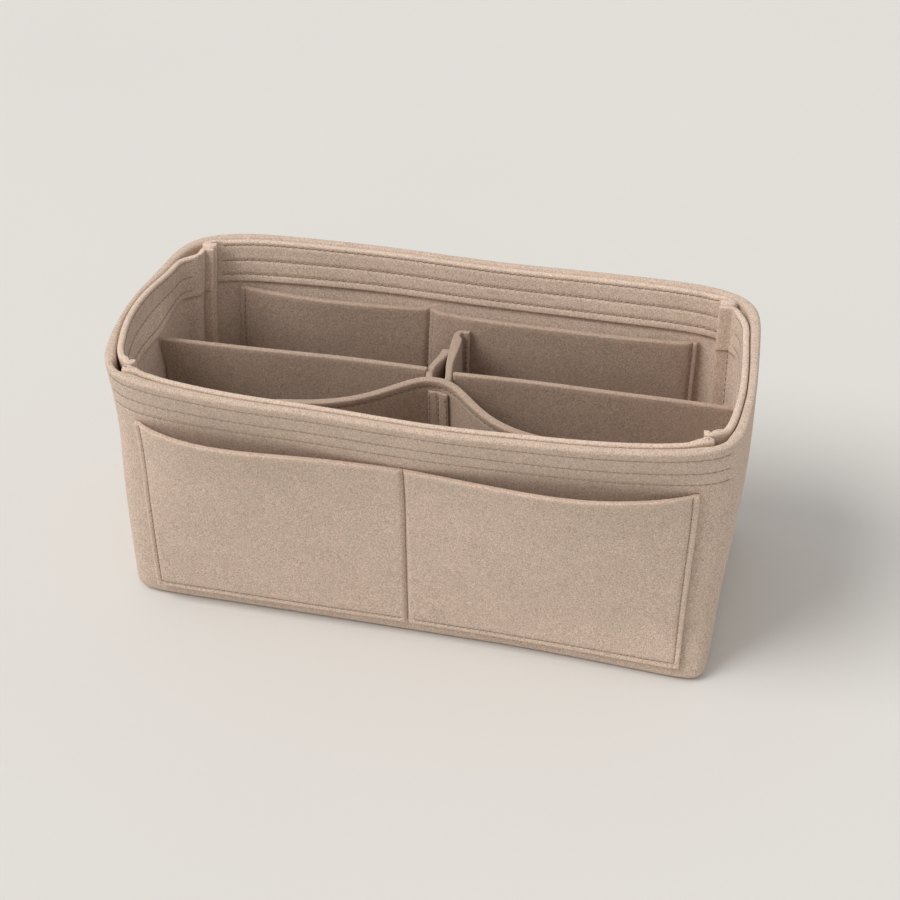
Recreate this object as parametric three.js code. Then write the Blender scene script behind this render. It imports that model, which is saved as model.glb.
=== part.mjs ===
import * as THREE from 'three';

// Felt purse organizer insert: a soft open tub sewn from an outer shell, a lining, dividers and pockets.
// Millimetres, Z up, the front towards -Y, the origin at the middle of the underside.

const { lerp, clamp, smoothstep } = THREE.MathUtils;

// Overall size
const HEIGHT = 127;
// The wall by height. The plan is a rectangle with round corners (the powers say how square) and bowed sides
const WALL = [
  { z: 0, length: 134.8, front: 56.9, back: 56.6, powerX: 24, powerY: 18, bowLong: 0.5, bowEnd: 0.5 },
  { z: 30, length: 136.4, front: 57.2, back: 57.6, powerX: 20, powerY: 15, bowLong: 1, bowEnd: 1 },
  { z: 60, length: 138, front: 57.8, back: 59.2, powerX: 15, powerY: 12, bowLong: 2, bowEnd: 1.5 },
  { z: 85, length: 139.4, front: 58.8, back: 61.6, powerX: 11, powerY: 9, bowLong: 3, bowEnd: 2.5 },
  { z: 104, length: 140.1, front: 62, back: 64.8, powerX: 9.5, powerY: 8, bowLong: 4, bowEnd: 3 },
  { z: HEIGHT, length: 140.3, front: 68.6, back: 68.8, powerX: 9, powerY: 7.5, bowLong: 4.5, bowEnd: 3.5 },
];
// Angles round a quarter of the plan, in degrees, close together at the corner
const QUARTER_ANGLES = [0, 0.85, 7, 16.5, 26, 34.5, 43, 53, 64.5, 74.5, 82.5, 87.6, 89.8];

// Felt and thread
const FELT = 2.8;
const LINING = 1.6;
const PARTITION = 3;
const SHELL_HEM = 4.4;
const LINING_HEM = 3.2;
const STRAP = 1.6;
const THREAD_RADIUS = 0.4;
const GAP = 0.4;
const EDGE = 0.7;
const THREAD_LIFT = THREAD_RADIUS + GAP;

// Hems and their stitch rows, as heights
const SHELL_HEM_FOOT = 101.5;
const LINING_HEM_FOOT = 107;
const SHELL_ROWS = [121.9, 113.2, 105.9];
const LINING_ROWS = [125.3, 117.6, 110.6];

// Bottom
const SHELL_TURN = 6;
const BASE_INSET = 7.4;
const SEAM_INSET = 6.7;
const SEAM_HEIGHT = 1.2;
const FLOOR_INSET = 5.4;
const FLOOR_BOTTOM = 3.2;
const FLOOR_TOP = FLOOR_BOTTOM + LINING;
const PANEL_BOTTOM = FLOOR_TOP + GAP;

// Lining: how far its outer face is inside the shell's outer face, and its corner seams
const LINING_INSET = SHELL_HEM + GAP;
const LINING_MIDDLE = LINING_INSET + LINING / 2;
const LINING_FACE = LINING_INSET + LINING;
const CORNER_ANGLE = THREE.MathUtils.degToRad(34.7);
const EAR_FRONT_LENGTH = 4.8;
const EAR_BACK_LENGTH = 7.4;
const EAR_LONG = 2.2;
const EAR_END = EAR_LONG + LINING + GAP;
const EAR_SEAM_TOP = 122;

// Front outside pocket
const FRONT_POCKET_LEFT = -122.6;
const FRONT_POCKET_SEAM = -0.9;
const FRONT_POCKET_RIGHT = 123.2;
const FRONT_POCKET_LEFT_TAPER = 1.8;
const FRONT_POCKET_RIGHT_TAPER = 0.2;
const FRONT_POCKET_FOOT = 8.6;
const FRONT_POCKET_TOP = 99;
const FRONT_POCKET_LIFT = 2.4;
const FRONT_LEFT_GAPE = 6.4;
const FRONT_RIGHT_GAPE = 7;
const FRONT_LEFT_SKEW = 1.8;
const FRONT_RIGHT_SKEW = 1.45;
const SEAM_GROOVE = 0.9;
const BORDER = 2.5;

// Back inside pocket
const BACK_POCKET_LEFT = -109;
const BACK_POCKET_SEAM = -17;
const BACK_POCKET_RIGHT = 110.5;
const BACK_POCKET_FOOT = 12;
const BACK_POCKET_TOP = 102.2;
const BACK_LEFT_LIFT = 2.4;
const BACK_RIGHT_LIFT = 1;
const BACK_LEFT_GAPE = 6.6;
const BACK_RIGHT_GAPE = 7.2;

// Dividers, bowed panel and partitions
const LEFT_DIVIDER = { sign: -1, inner: -5.9, outerY: 1.6, innerY: 4 };
const RIGHT_DIVIDER = { sign: 1, inner: 7.3, outerY: 2.8, innerY: 2.8 };
const DIVIDER_TOP = 105.2;
const BOW_TOP = 106;
const BOW_HALF = 112;
const BOW_INSET = LINING_INSET + LINING_HEM + GAP;
const BOW_APEX_Y = -4.3;
// Each side of the bow is a narrow core, which falls off with a power, and a long tail that keeps the rest
const BOW_LEFT = { core: 0.735, width: 27, power: 2.09 };
const BOW_RIGHT = { core: 0.768, width: 24.7, power: 2.5 };
const BOW_TAIL_START = 60;
const BOW_ROW = 102;
const STRAP_LEFT = -2.9;
const STRAP_RIGHT = 7.3;
const STRAP_TOP = 101;
const STRAP_SEAMS = [-2.2, 2.2, 6.6];
const PARTITION_TOP = 104.5;
const PARTITION_FRONT_Y = -2.4;
const PARTITION_FALL = 0.12;
const PARTITION_FALL_GROWTH = 0.0011;
const TAB_Y = 48;
const TAB_X = 4.8;
const TAB_ROW_X = 3.4;

// Colours read from the photo
const SHELL_COLOUR = 0xc8b4a5;
const LINING_COLOUR = 0xb9a293;
const PANEL_COLOUR = 0xb09a8b;
const THREAD_COLOUR = 0xa28c7d;
const FELT_ROUGHNESS = 0.95;

const organizer = new THREE.Group();
organizer.name = 'purse_organizer_insert';

// The wall's sizes at one height, straight between the rows of WALL
function wallShape(z) {
  const top = Math.max(1, WALL.findIndex((row) => row.z >= z));
  const [low, high] = [WALL[top - 1], WALL[top]];
  const share = clamp((z - low.z) / (high.z - low.z), 0, 1);
  return Object.fromEntries(Object.keys(low).map((key) => [key, lerp(low[key], high[key], share)]));
}

// Point of the wall at an angle round the plan, the front being the negative angles
function wallPoint(angle, inset, z) {
  const { length, front, back, powerX, powerY, bowLong, bowEnd } = wallShape(z);
  const depth = Math.sin(angle) < 0 ? front : back;
  const c = Math.abs(Math.cos(angle)) ** (2 / powerX);
  const s = Math.abs(Math.sin(angle)) ** (2 / powerY);
  const x = Math.sign(Math.cos(angle)) * (length - inset) * c * (1 - (bowEnd / length) * s * s);
  const y = Math.sign(Math.sin(angle)) * (depth - inset) * s * (1 - (bowLong / depth) * c * c);
  return new THREE.Vector3(x, y, z);
}

// Angle in the first quarter at which a falling measure comes to a value
function angleAt(measure, value) {
  let [low, high] = [0, Math.PI / 2];
  for (let i = 0; i < 40; i++) {
    const middle = (low + high) / 2;
    if (measure(middle) > value) {
      low = middle;
    } else {
      high = middle;
    }
  }
  return low;
}

// Y of the long wall at x: the front for sign -1, the back for sign 1
function wallY(x, z, inset, sign) {
  const angle = angleAt((t) => wallPoint(sign * t, inset, z).x, Math.abs(x));
  return wallPoint(sign * angle, inset, z).y;
}

// Half length of the wall at y
function wallX(y, z, inset) {
  const sign = Math.sign(y) || 1;
  const angle = angleAt((t) => Math.abs(wallPoint(sign * (Math.PI / 2 - t), inset, z).y), Math.abs(y));
  return wallPoint(sign * (Math.PI / 2 - angle), inset, z).x;
}

// Adds one closed mesh, turned to face out
function addMesh(name, positions, index, colour) {
  const at = (i) => new THREE.Vector3().fromArray(positions, 3 * i);
  let volume = 0;
  for (let i = 0; i < index.length; i += 3) {
    volume += at(index[i]).dot(at(index[i + 1]).cross(at(index[i + 2])));
  }
  const outward = volume > 0 ? index : index.toReversed();
  const geometry = new THREE.BufferGeometry();
  geometry.setAttribute('position', new THREE.Float32BufferAttribute(positions, 3));
  geometry.setIndex(outward);
  geometry.computeVertexNormals();
  const look = { color: colour, roughness: FELT_ROUGHNESS, metalness: 0 };
  const mesh = new THREE.Mesh(geometry, new THREE.MeshStandardMaterial(look));
  mesh.name = name;
  organizer.add(mesh);
}

// Triangles over the end of a solid, laced from side to side of its loop of points
function capTriangles(loop) {
  const triangles = [];
  let [near, far] = [0, loop.length - 1];
  while (far - near > 1) {
    const rise = loop[near + 1].z - loop[far - 1].z;
    const nearIsBehind = near <= loop.length - 1 - far;
    if (rise < 0 || (rise === 0 && nearIsBehind)) {
      triangles.push([near, near + 1, far]);
      near += 1;
    } else {
      triangles.push([near, far - 1, far]);
      far -= 1;
    }
  }
  return triangles;
}

// Joins a row of point loops into one solid, with end caps unless the row closes on itself
function joinLoops(name, loops, colour, closed = false) {
  const count = loops[0].length;
  const positions = loops.flat().flatMap((point) => point.toArray());
  const index = [];
  const spans = closed ? loops.length : loops.length - 1;
  for (let i = 0; i < spans; i++) {
    const j = (i + 1) % loops.length;
    for (let k = 0; k < count; k++) {
      const m = (k + 1) % count;
      index.push(i * count + k, j * count + k, j * count + m);
      index.push(i * count + k, j * count + m, i * count + m);
    }
  }
  if (!closed) {
    const last = (loops.length - 1) * count;
    for (const [a, b, c] of capTriangles(loops[0])) {
      index.push(a, b, c);
    }
    for (const [a, b, c] of capTriangles(loops.at(-1))) {
      index.push(last + a, last + c, last + b);
    }
  }
  addMesh(name, positions, index, colour);
}

// Sweeps a section of [depth, height] points through the columns of a wall or panel
function sweep(name, columns, section, at, colour, closed = false) {
  const loops = columns.map((column) => section.map(([depth, z]) => at(column, depth, z)));
  joinLoops(name, loops, colour, closed);
}

// Section of a felt panel from depth to depth, with its top edge a little rounded
function panelSection(inner, outer, foot, top) {
  const levels = [foot, ...wallRows.filter((z) => z > foot + 2 && z < top - 2)];
  return [
    ...levels.map((z) => [outer, z]),
    [outer, top - EDGE],
    [outer - EDGE, top],
    [inner + EDGE, top],
    [inner, top - EDGE],
    ...levels.toReversed().map((z) => [inner, z]),
  ];
}

// A length of thread along points that lie over a face, whose outward direction is given
function thread(name, points, outward, closed = false) {
  const wrap = (i) => (closed ? (i + points.length) % points.length : clamp(i, 0, points.length - 1));
  const loops = points.map((point, i) => {
    const along = points[wrap(i + 1)].clone().sub(points[wrap(i - 1)]).normalize();
    const side = along.clone().cross(outward).normalize().multiplyScalar(THREAD_RADIUS);
    const up = side.clone().cross(along);
    return [up, side, up.clone().negate(), side.clone().negate()].map((step) => step.add(point));
  });
  joinLoops(name, loops, THREAD_COLOUR, closed);
}

// A panel that follows a row of plan points; depth is to the left of the row
function ribbon(pointsAt) {
  const rows = new Map();
  return (i, depth, z) => {
    if (!rows.has(z)) {
      rows.set(z, pointsAt(z));
    }
    const points = rows.get(z);
    const last = points.length - 1;
    const along = points[Math.min(i + 1, last)].clone().sub(points[Math.max(i - 1, 0)]).normalize();
    return new THREE.Vector3(points[i].x - along.y * depth, points[i].y + along.x * depth, z);
  };
}

const wallRows = WALL.slice(1, -1).map((row) => row.z);
const range = (count) => Array.from({ length: count }, (_, i) => i);
const plan = (x, y) => new THREE.Vector2(x, y);
const mirrorX = (points) => points.map((point) => plan(-point.x, point.y)).reverse();

// Outer shell: wall, turned-in hem at the top, bottom edge turned under
const quarter = QUARTER_ANGLES.map((angle) => THREE.MathUtils.degToRad(angle));
const shellAngles = range(4).flatMap((turn) => {
  const rising = turn % 2 === 0;
  const steps = rising ? quarter : [0, ...quarter.slice(1).toReversed().map((angle) => Math.PI / 2 - angle)];
  return steps.map((angle) => (turn * Math.PI) / 2 + angle);
});
const innerRows = wallRows.filter((z) => z < SHELL_HEM_FOOT);
const shellSection = [
  [SHELL_TURN, 0],
  [1.8, 0],
  [0.5, 0.6],
  [0, 2.2],
  ...wallRows.map((z) => [0, z]),
  [0, HEIGHT - 1.6],
  [0.5, HEIGHT - 0.5],
  [1.5, HEIGHT],
  [SHELL_HEM - 1.5, HEIGHT],
  [SHELL_HEM - 0.5, HEIGHT - 0.5],
  [SHELL_HEM, HEIGHT - 1.6],
  [SHELL_HEM, 104],
  [SHELL_HEM, SHELL_HEM_FOOT],
  [FELT, SHELL_HEM_FOOT - EDGE],
  ...innerRows.toReversed().map((z) => [FELT, z]),
  [FELT, 5.4],
  [3.4, 3.6],
  [SHELL_TURN, FELT],
];
sweep('outer_shell', shellAngles, shellSection, wallPoint, SHELL_COLOUR, true);

// Base panel and lining floor: flat plates with the plan of the wall's foot
function plate(name, inset, bottom, top, colour) {
  const loops = [bottom, top].map((z) => shellAngles.map((angle) => wallPoint(angle, inset, 0).setZ(z)));
  joinLoops(name, loops, colour);
}
plate('base_panel', BASE_INSET, 0, FELT, SHELL_COLOUR);
plate('lining_floor', FLOOR_INSET, FLOOR_BOTTOM, FLOOR_TOP, LINING_COLOUR);
const seamPoints = shellAngles.map((angle) => wallPoint(angle, SEAM_INSET, 0).setZ(SEAM_HEIGHT));
thread('base_seam_thread', seamPoints, new THREE.Vector3(0, 0, -1), true);

// Lining panels: they follow the shell, then turn in at the corners as seam ears
const LONG_SHARES = [0.25, 0.45, 0.6, 0.72, 0.82, 0.91, 1];
const LONG_TURN = 10;
const LONG_EAR_POINTS = 6;
const END_SHARES = [0.3, 0.55, 0.78, 1];
const END_TURN = 18;
const END_EAR_POINTS = 3;
// Bends of the end linings into their ears: how far from the corner, and the share of the way out to the wall
const FRONT_BENDS = [[12.6, 0.98], [8.4, 0.9], [5.5, 0.5]];
const RIGHT_BENDS = { front: FRONT_BENDS, back: [[12.6, 0.9], [8.4, 0.66], [5.5, 0.25]] };
const LEFT_BENDS = { front: FRONT_BENDS, back: [[16, 0.8], [12, 0.52], [8.4, 0.15]] };
const earLength = (sign) => (sign < 0 ? EAR_FRONT_LENGTH : EAR_BACK_LENGTH);

function longLining(z, sign) {
  const corner = wallPoint(sign * CORNER_ANGLE, LINING_MIDDLE, z);
  const wall = (x) => plan(x, wallY(x, z, LINING_MIDDLE, sign));
  const ear = (inX, inY) => plan(corner.x - inX, corner.y - sign * inY);
  const half = [
    ...LONG_SHARES.map((share) => wall(share * (corner.x - LONG_TURN))),
    wall(corner.x - LONG_TURN / 2),
    ear(2, -1.5),
    ear(0.6, 0),
    ear(0.9, 1.4),
    ear(2.6, EAR_LONG),
    ear(earLength(sign), EAR_LONG),
  ];
  const leftToRight = [...mirrorX(half), wall(0), ...half];
  return sign < 0 ? leftToRight : leftToRight.reverse();
}

// An end lining as it is on the right, front to back
function endLining(z, bends) {
  const wall = (y) => plan(wallX(y, z, LINING_MIDDLE), y);
  const half = (sign) => {
    const corner = wallPoint(sign * CORNER_ANGLE, LINING_MIDDLE, z);
    const depth = Math.abs(corner.y);
    const ear = (inX, inY) => plan(corner.x - inX, corner.y - sign * inY);
    const bend = (inY, share) => {
      const { x, y } = wall(sign * (depth - inY));
      return plan(lerp(corner.x, x, share), y);
    };
    return [
      ...END_SHARES.map((share) => wall(sign * share * (depth - END_TURN))),
      ...bends[sign < 0 ? 'front' : 'back'].map(([inY, share]) => bend(inY, share)),
      ear(1.6, EAR_END + 0.15),
      ear(earLength(sign), EAR_END),
    ];
  };
  return [...half(-1).reverse(), wall(0), ...half(1)];
}

// The hem is only on the wall, so it thins to nothing at the ears
function liningAt(pointsAt, earPoints) {
  const at = ribbon(pointsAt);
  const count = pointsAt(0).length;
  return (i, depth, z) => {
    const onWall = i >= earPoints && i < count - earPoints;
    const offset = onWall ? depth : Math.min(depth, LINING);
    return at(i, offset - LINING / 2, z);
  };
}

const belowHem = wallRows.filter((z) => z > PANEL_BOTTOM && z < LINING_HEM_FOOT);
const liningSection = [
  [0, PANEL_BOTTOM],
  ...belowHem.map((z) => [0, z]),
  [0, HEIGHT - EDGE],
  [EDGE, HEIGHT],
  [LINING_HEM - EDGE, HEIGHT],
  [LINING_HEM, HEIGHT - EDGE],
  [LINING_HEM, LINING_HEM_FOOT],
  [LINING, LINING_HEM_FOOT - EDGE],
  ...belowHem.toReversed().map((z) => [LINING, z]),
  [LINING, PANEL_BOTTOM],
];

const linings = {
  front: { path: (z) => longLining(z, -1), ear: LONG_EAR_POINTS, inward: new THREE.Vector3(0, 1, 0) },
  back: { path: (z) => longLining(z, 1), ear: LONG_EAR_POINTS, inward: new THREE.Vector3(0, -1, 0) },
  right: {
    path: (z) => endLining(z, RIGHT_BENDS),
    ear: END_EAR_POINTS,
    inward: new THREE.Vector3(-1, 0, 0),
  },
  left: {
    path: (z) => mirrorX(endLining(z, LEFT_BENDS)),
    ear: END_EAR_POINTS,
    inward: new THREE.Vector3(1, 0, 0),
  },
};
for (const [side, { path, ear, inward }] of Object.entries(linings)) {
  const at = liningAt(path, ear);
  const columns = range(path(0).length);
  sweep(`lining_${side}`, columns, liningSection, at, LINING_COLOUR);
  const onWall = columns.slice(ear, columns.length - ear);
  LINING_ROWS.forEach((z, row) => {
    const points = onWall.map((i) => at(i, LINING_HEM + THREAD_LIFT, z));
    thread(`lining_${side}_row_${row + 1}`, points, inward);
  });
}

// Corner seams: one upright thread on the inner face of each ear
for (const side of ['right', 'left']) {
  const at = ribbon(linings[side].path);
  const last = linings[side].path(0).length - 2;
  const ends = side === 'right' ? { front: 1, back: last } : { front: last, back: 1 };
  for (const [end, i] of Object.entries(ends)) {
    const levels = [PANEL_BOTTOM + 2, ...wallRows, EAR_SEAM_TOP];
    const points = levels.map((z) => at(i, LINING / 2 + THREAD_LIFT, z));
    const outward = new THREE.Vector3(0, end === 'front' ? 1 : -1, 0);
    thread(`corner_seam_${end}_${side}`, points, outward);
  }
}

// Hem rows outside, on the front and back of the shell
const rowQuarter = quarter.slice(4);
const rowAngles = [...rowQuarter, Math.PI / 2, ...rowQuarter.toReversed().map((t) => Math.PI - t)];
for (const [end, sign] of [['front', -1], ['back', 1]]) {
  SHELL_ROWS.forEach((z, row) => {
    const points = rowAngles.map((angle) => wallPoint(sign * angle, -THREAD_LIFT, z));
    thread(`shell_${end}_row_${row + 1}`, points, new THREE.Vector3(0, sign, 0));
  });
}

// How far a pocket stands open: nothing at its sewn sides and foot, most at its mouth. A skew over 1 puts the
// widest place nearer the outer side
const POCKET_COLUMNS = [0, 0.02, 0.05, 0.1, 0.17, 0.26, 0.38, 0.5, 0.62, 0.74, 0.83, 0.9, 0.95, 0.98, 1];
function gape(share, rise, most, swell, skew) {
  const across = Math.sin(Math.PI * clamp((share - 0.02) / 0.96, 0, 1) ** skew);
  return most * across ** swell * clamp(rise, 0, 1) ** 1.5;
}

// Front pocket halves, over the front of the shell; the share runs from the centre seam to the outer side
const FRONT_RISE = FRONT_POCKET_TOP - FRONT_POCKET_FOOT;
const frontPockets = {
  left: {
    sign: -1,
    outer: FRONT_POCKET_LEFT,
    taper: FRONT_POCKET_LEFT_TAPER,
    most: FRONT_LEFT_GAPE,
    skew: FRONT_LEFT_SKEW,
  },
  right: {
    sign: 1,
    outer: FRONT_POCKET_RIGHT,
    taper: FRONT_POCKET_RIGHT_TAPER,
    most: FRONT_RIGHT_GAPE,
    skew: FRONT_RIGHT_SKEW,
  },
};
function frontPocketAt({ sign, outer, taper, most, skew }) {
  const inner = FRONT_POCKET_SEAM + sign * SEAM_GROOVE;
  return (share, depth, height) => {
    const rise = (height - FRONT_POCKET_FOOT) / FRONT_RISE;
    const x = lerp(inner, outer - sign * taper * (1 - rise), share);
    const z = height + FRONT_POCKET_LIFT * share * rise;
    const open = gape(share, rise, most, 0.8, skew);
    return new THREE.Vector3(x, wallY(x, z, 0, -1) - GAP - open - depth, z);
  };
}
for (const [side, half] of Object.entries(frontPockets)) {
  const at = frontPocketAt(half);
  const section = panelSection(0, FELT, FRONT_POCKET_FOOT, FRONT_POCKET_TOP);
  sweep(`front_pocket_${side}`, POCKET_COLUMNS, section, at, SHELL_COLOUR);
  const border = BORDER / Math.abs(half.outer - FRONT_POCKET_SEAM);
  const foot = FRONT_POCKET_FOOT + BORDER;
  const over = FELT + THREAD_LIFT;
  const down = [FRONT_POCKET_TOP - 1, ...wallRows.toReversed(), foot].filter((z) => z < FRONT_POCKET_TOP);
  const along = range(9).map((i) => lerp(1 - border, border, (i + 1) / 9));
  const sidePoints = down.map((z) => at(1 - border, over, z));
  const footPoints = along.map((share) => at(share, over, foot));
  thread(`front_pocket_border_${side}`, [...sidePoints, ...footPoints], new THREE.Vector3(0, -1, 0));
}
const frontSeamRows = wallRows.filter((z) => z < FRONT_POCKET_TOP);
const frontSeam = [FRONT_POCKET_FOOT + BORDER, ...frontSeamRows, FRONT_POCKET_TOP];
const frontSeamPoint = (z) => {
  const y = wallY(FRONT_POCKET_SEAM, z, 0, -1) - THREAD_LIFT;
  return new THREE.Vector3(FRONT_POCKET_SEAM, y, z);
};
thread('front_pocket_seam', frontSeam.map(frontSeamPoint), new THREE.Vector3(0, -1, 0));

// Back pocket halves, over the back lining; the share runs from the seam to the outer side
const BACK_RISE = BACK_POCKET_TOP - BACK_POCKET_FOOT;
const backPockets = {
  left: { sign: -1, outer: BACK_POCKET_LEFT, most: BACK_LEFT_GAPE, swell: 0.8, lift: BACK_LEFT_LIFT },
  right: { sign: 1, outer: BACK_POCKET_RIGHT, most: BACK_RIGHT_GAPE, swell: 0.5, lift: BACK_RIGHT_LIFT },
};
function backPocketAt({ sign, outer, most, swell, lift }) {
  const inner = BACK_POCKET_SEAM + sign * SEAM_GROOVE;
  return (share, depth, height) => {
    const rise = (height - BACK_POCKET_FOOT) / BACK_RISE;
    const x = lerp(inner, outer, share);
    const z = height + lift * share * rise;
    const open = gape(share, rise, most, swell, 1);
    return new THREE.Vector3(x, wallY(x, z, LINING_FACE, 1) - GAP - open - depth, z);
  };
}
for (const [side, half] of Object.entries(backPockets)) {
  const at = backPocketAt(half);
  const section = panelSection(0, FELT, BACK_POCKET_FOOT, BACK_POCKET_TOP);
  sweep(`back_pocket_${side}`, POCKET_COLUMNS, section, at, PANEL_COLOUR);
  const border = BORDER / Math.abs(half.outer - BACK_POCKET_SEAM);
  const levels = [BACK_POCKET_FOOT + 1, ...wallRows, BACK_POCKET_TOP - 1].filter((z) => z < BACK_POCKET_TOP);
  const points = levels.map((z) => at(1 - border, FELT + THREAD_LIFT, z));
  thread(`back_pocket_border_${side}`, points, new THREE.Vector3(0, -1, 0));
}
const backSeam = [BACK_POCKET_FOOT + 1, ...wallRows, BACK_POCKET_TOP].filter((z) => z <= BACK_POCKET_TOP);
const backSeamPoint = (z) => {
  const y = wallY(BACK_POCKET_SEAM, z, LINING_FACE, 1) - THREAD_LIFT;
  return new THREE.Vector3(BACK_POCKET_SEAM, y, z);
};
thread('back_pocket_seam', backSeam.map(backSeamPoint), new THREE.Vector3(0, -1, 0));

// Lengthwise dividers, from the end linings to the partitions
const dividers = { left: LEFT_DIVIDER, right: RIGHT_DIVIDER };
for (const [side, { sign, inner, outerY, innerY }] of Object.entries(dividers)) {
  const [foot, top] = [PANEL_BOTTOM, DIVIDER_TOP].map((z) => wallX(outerY, z, LINING_FACE) - 2 * GAP);
  const at = (share, depth, z) => {
    const outer = sign * lerp(foot, top, (z - PANEL_BOTTOM) / (DIVIDER_TOP - PANEL_BOTTOM));
    return new THREE.Vector3(lerp(outer, inner, share), lerp(outerY, innerY, share) + depth, z);
  };
  const section = panelSection(-FELT / 2, FELT / 2, PANEL_BOTTOM, DIVIDER_TOP);
  sweep(`${side}_divider`, [0, 1], section, at, PANEL_COLOUR);
}

// Bowed front panel: sewn to the front lining at both ends, drawn back to the partitions in the middle
const BOW_XS = [14, 19, 24, 30, 37, 46, 57, 68, 79, 90, 101, BOW_HALF];
const BOW_MIDDLE_XS = [-9, STRAP_LEFT, ...STRAP_SEAMS, STRAP_RIGHT, 10];
const bowXs = [...BOW_XS.map((x) => -x).reverse(), ...BOW_MIDDLE_XS, ...BOW_XS];
function bowShare(x) {
  const { core, width, power } = x < 0 ? BOW_LEFT : BOW_RIGHT;
  const tail = (away) => (1 - core) * (1 - smoothstep(away, BOW_TAIL_START, BOW_HALF));
  const rise = (away) => core / (1 + (away / width) ** power) + tail(away);
  const end = rise(BOW_HALF);
  return (rise(Math.abs(x)) - end) / (rise(0) - end);
}
function bowPoint(x, z) {
  const wall = wallY(x, z, BOW_INSET + FELT / 2, -1);
  return plan(x, lerp(wall, BOW_APEX_Y, bowShare(x)));
}
const bowPath = (z) => bowXs.map((x) => bowPoint(x, z));
const bowAt = ribbon(bowPath);
const bowSection = panelSection(-FELT / 2, FELT / 2, PANEL_BOTTOM, BOW_TOP);
sweep('bowed_front_panel', range(bowXs.length), bowSection, bowAt, PANEL_COLOUR);
const bowRow = range(bowXs.length).slice(1, -1);
const bowRowPoints = bowRow.map((i) => bowAt(i, -FELT / 2 - THREAD_LIFT, BOW_ROW));
thread('bowed_panel_hem_row', bowRowPoints, new THREE.Vector3(0, -1, 0));

// Centre strap on the front of the bowed panel, with three upright seams
const strapFirst = bowXs.indexOf(STRAP_LEFT);
const strapColumns = range(5).map((i) => strapFirst + i);
const strapBack = -FELT / 2 - GAP;
const strapSection = panelSection(strapBack - STRAP, strapBack, PANEL_BOTTOM, STRAP_TOP);
sweep('centre_strap', strapColumns, strapSection, bowAt, PANEL_COLOUR);
['left', 'middle', 'right'].forEach((place, k) => {
  const column = [strapFirst + 1, strapFirst + 2, strapFirst + 3][k];
  const levels = [PANEL_BOTTOM + 1, ...wallRows, STRAP_TOP - 1].filter((z) => z < STRAP_TOP);
  const points = levels.map((z) => bowAt(column, strapBack - STRAP - THREAD_LIFT, z));
  thread(`centre_strap_seam_${place}`, points, new THREE.Vector3(0, -1, 0));
});

// Partition flaps: their top edges fall towards the back
function flapHeight(z, y) {
  const back = Math.max(0, y - PARTITION_FRONT_Y);
  const fall = PARTITION_FALL * back + PARTITION_FALL_GROWTH * back ** 2;
  return z - (fall * (z - PANEL_BOTTOM)) / (PARTITION_TOP - PANEL_BOTTOM);
}
const backRightAt = backPocketAt(backPockets.right);
function tabY(x, z) {
  const share = (x - BACK_POCKET_SEAM) / (BACK_POCKET_RIGHT - BACK_POCKET_SEAM);
  return backRightAt(share, FELT, flapHeight(z, TAB_Y)).y - GAP - PARTITION / 2;
}

// The right flap is a tab on the back pocket, then runs forward to the bowed panel
function rightPartition(z) {
  const y = Math.min(tabY(1, z), tabY(TAB_X, z));
  return [
    plan(TAB_X, y),
    plan(TAB_ROW_X, y),
    plan(2.1, y - 0.3),
    plan(0.9, y - 1.3),
    plan(0.1, y - 3),
    plan(-0.3, y - 6),
    plan(0.5, 33),
    plan(1.5, 25),
    plan(2.3, 18),
    plan(3.3, 12),
    plan(4.5, 6),
    plan(5.3, 1.5),
    plan(5.7, PARTITION_FRONT_Y),
  ];
}
function leftPartition() {
  return [
    plan(-2, 26.5),
    plan(-2, 23.5),
    plan(-2.4, 19),
    plan(-3.2, 14),
    plan(-3.9, 9),
    plan(-3.9, 4),
    plan(-3.2, 0),
    plan(-2.4, PARTITION_FRONT_Y),
  ];
}
const partitionSection = panelSection(-PARTITION / 2, PARTITION / 2, PANEL_BOTTOM, PARTITION_TOP);
for (const [side, path] of [['right', rightPartition], ['left', leftPartition]]) {
  const follow = ribbon(path);
  const at = (i, depth, z) => {
    const point = follow(i, depth, z);
    return point.setZ(flapHeight(z, point.y));
  };
  sweep(`${side}_partition`, range(path(0).length), partitionSection, at, PANEL_COLOUR);
}
const tabLevels = [PANEL_BOTTOM + 2, ...wallRows, PARTITION_TOP - 2].filter((z) => z < PARTITION_TOP - 1);
const tabPoints = tabLevels.map((z) => {
  const { x, y } = rightPartition(z)[1];
  return new THREE.Vector3(x, y - PARTITION / 2 - THREAD_LIFT, flapHeight(z, y));
});
thread('partition_tab_seam', tabPoints, new THREE.Vector3(0, -1, 0));

export default organizer;
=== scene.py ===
"""Felt purse organizer insert: a soft open tub sewn from a shell, a lining, pockets and dividers.

Shapes are worked out in millimetres and become metres when a mesh is made. The front faces -Y.
"""

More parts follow.
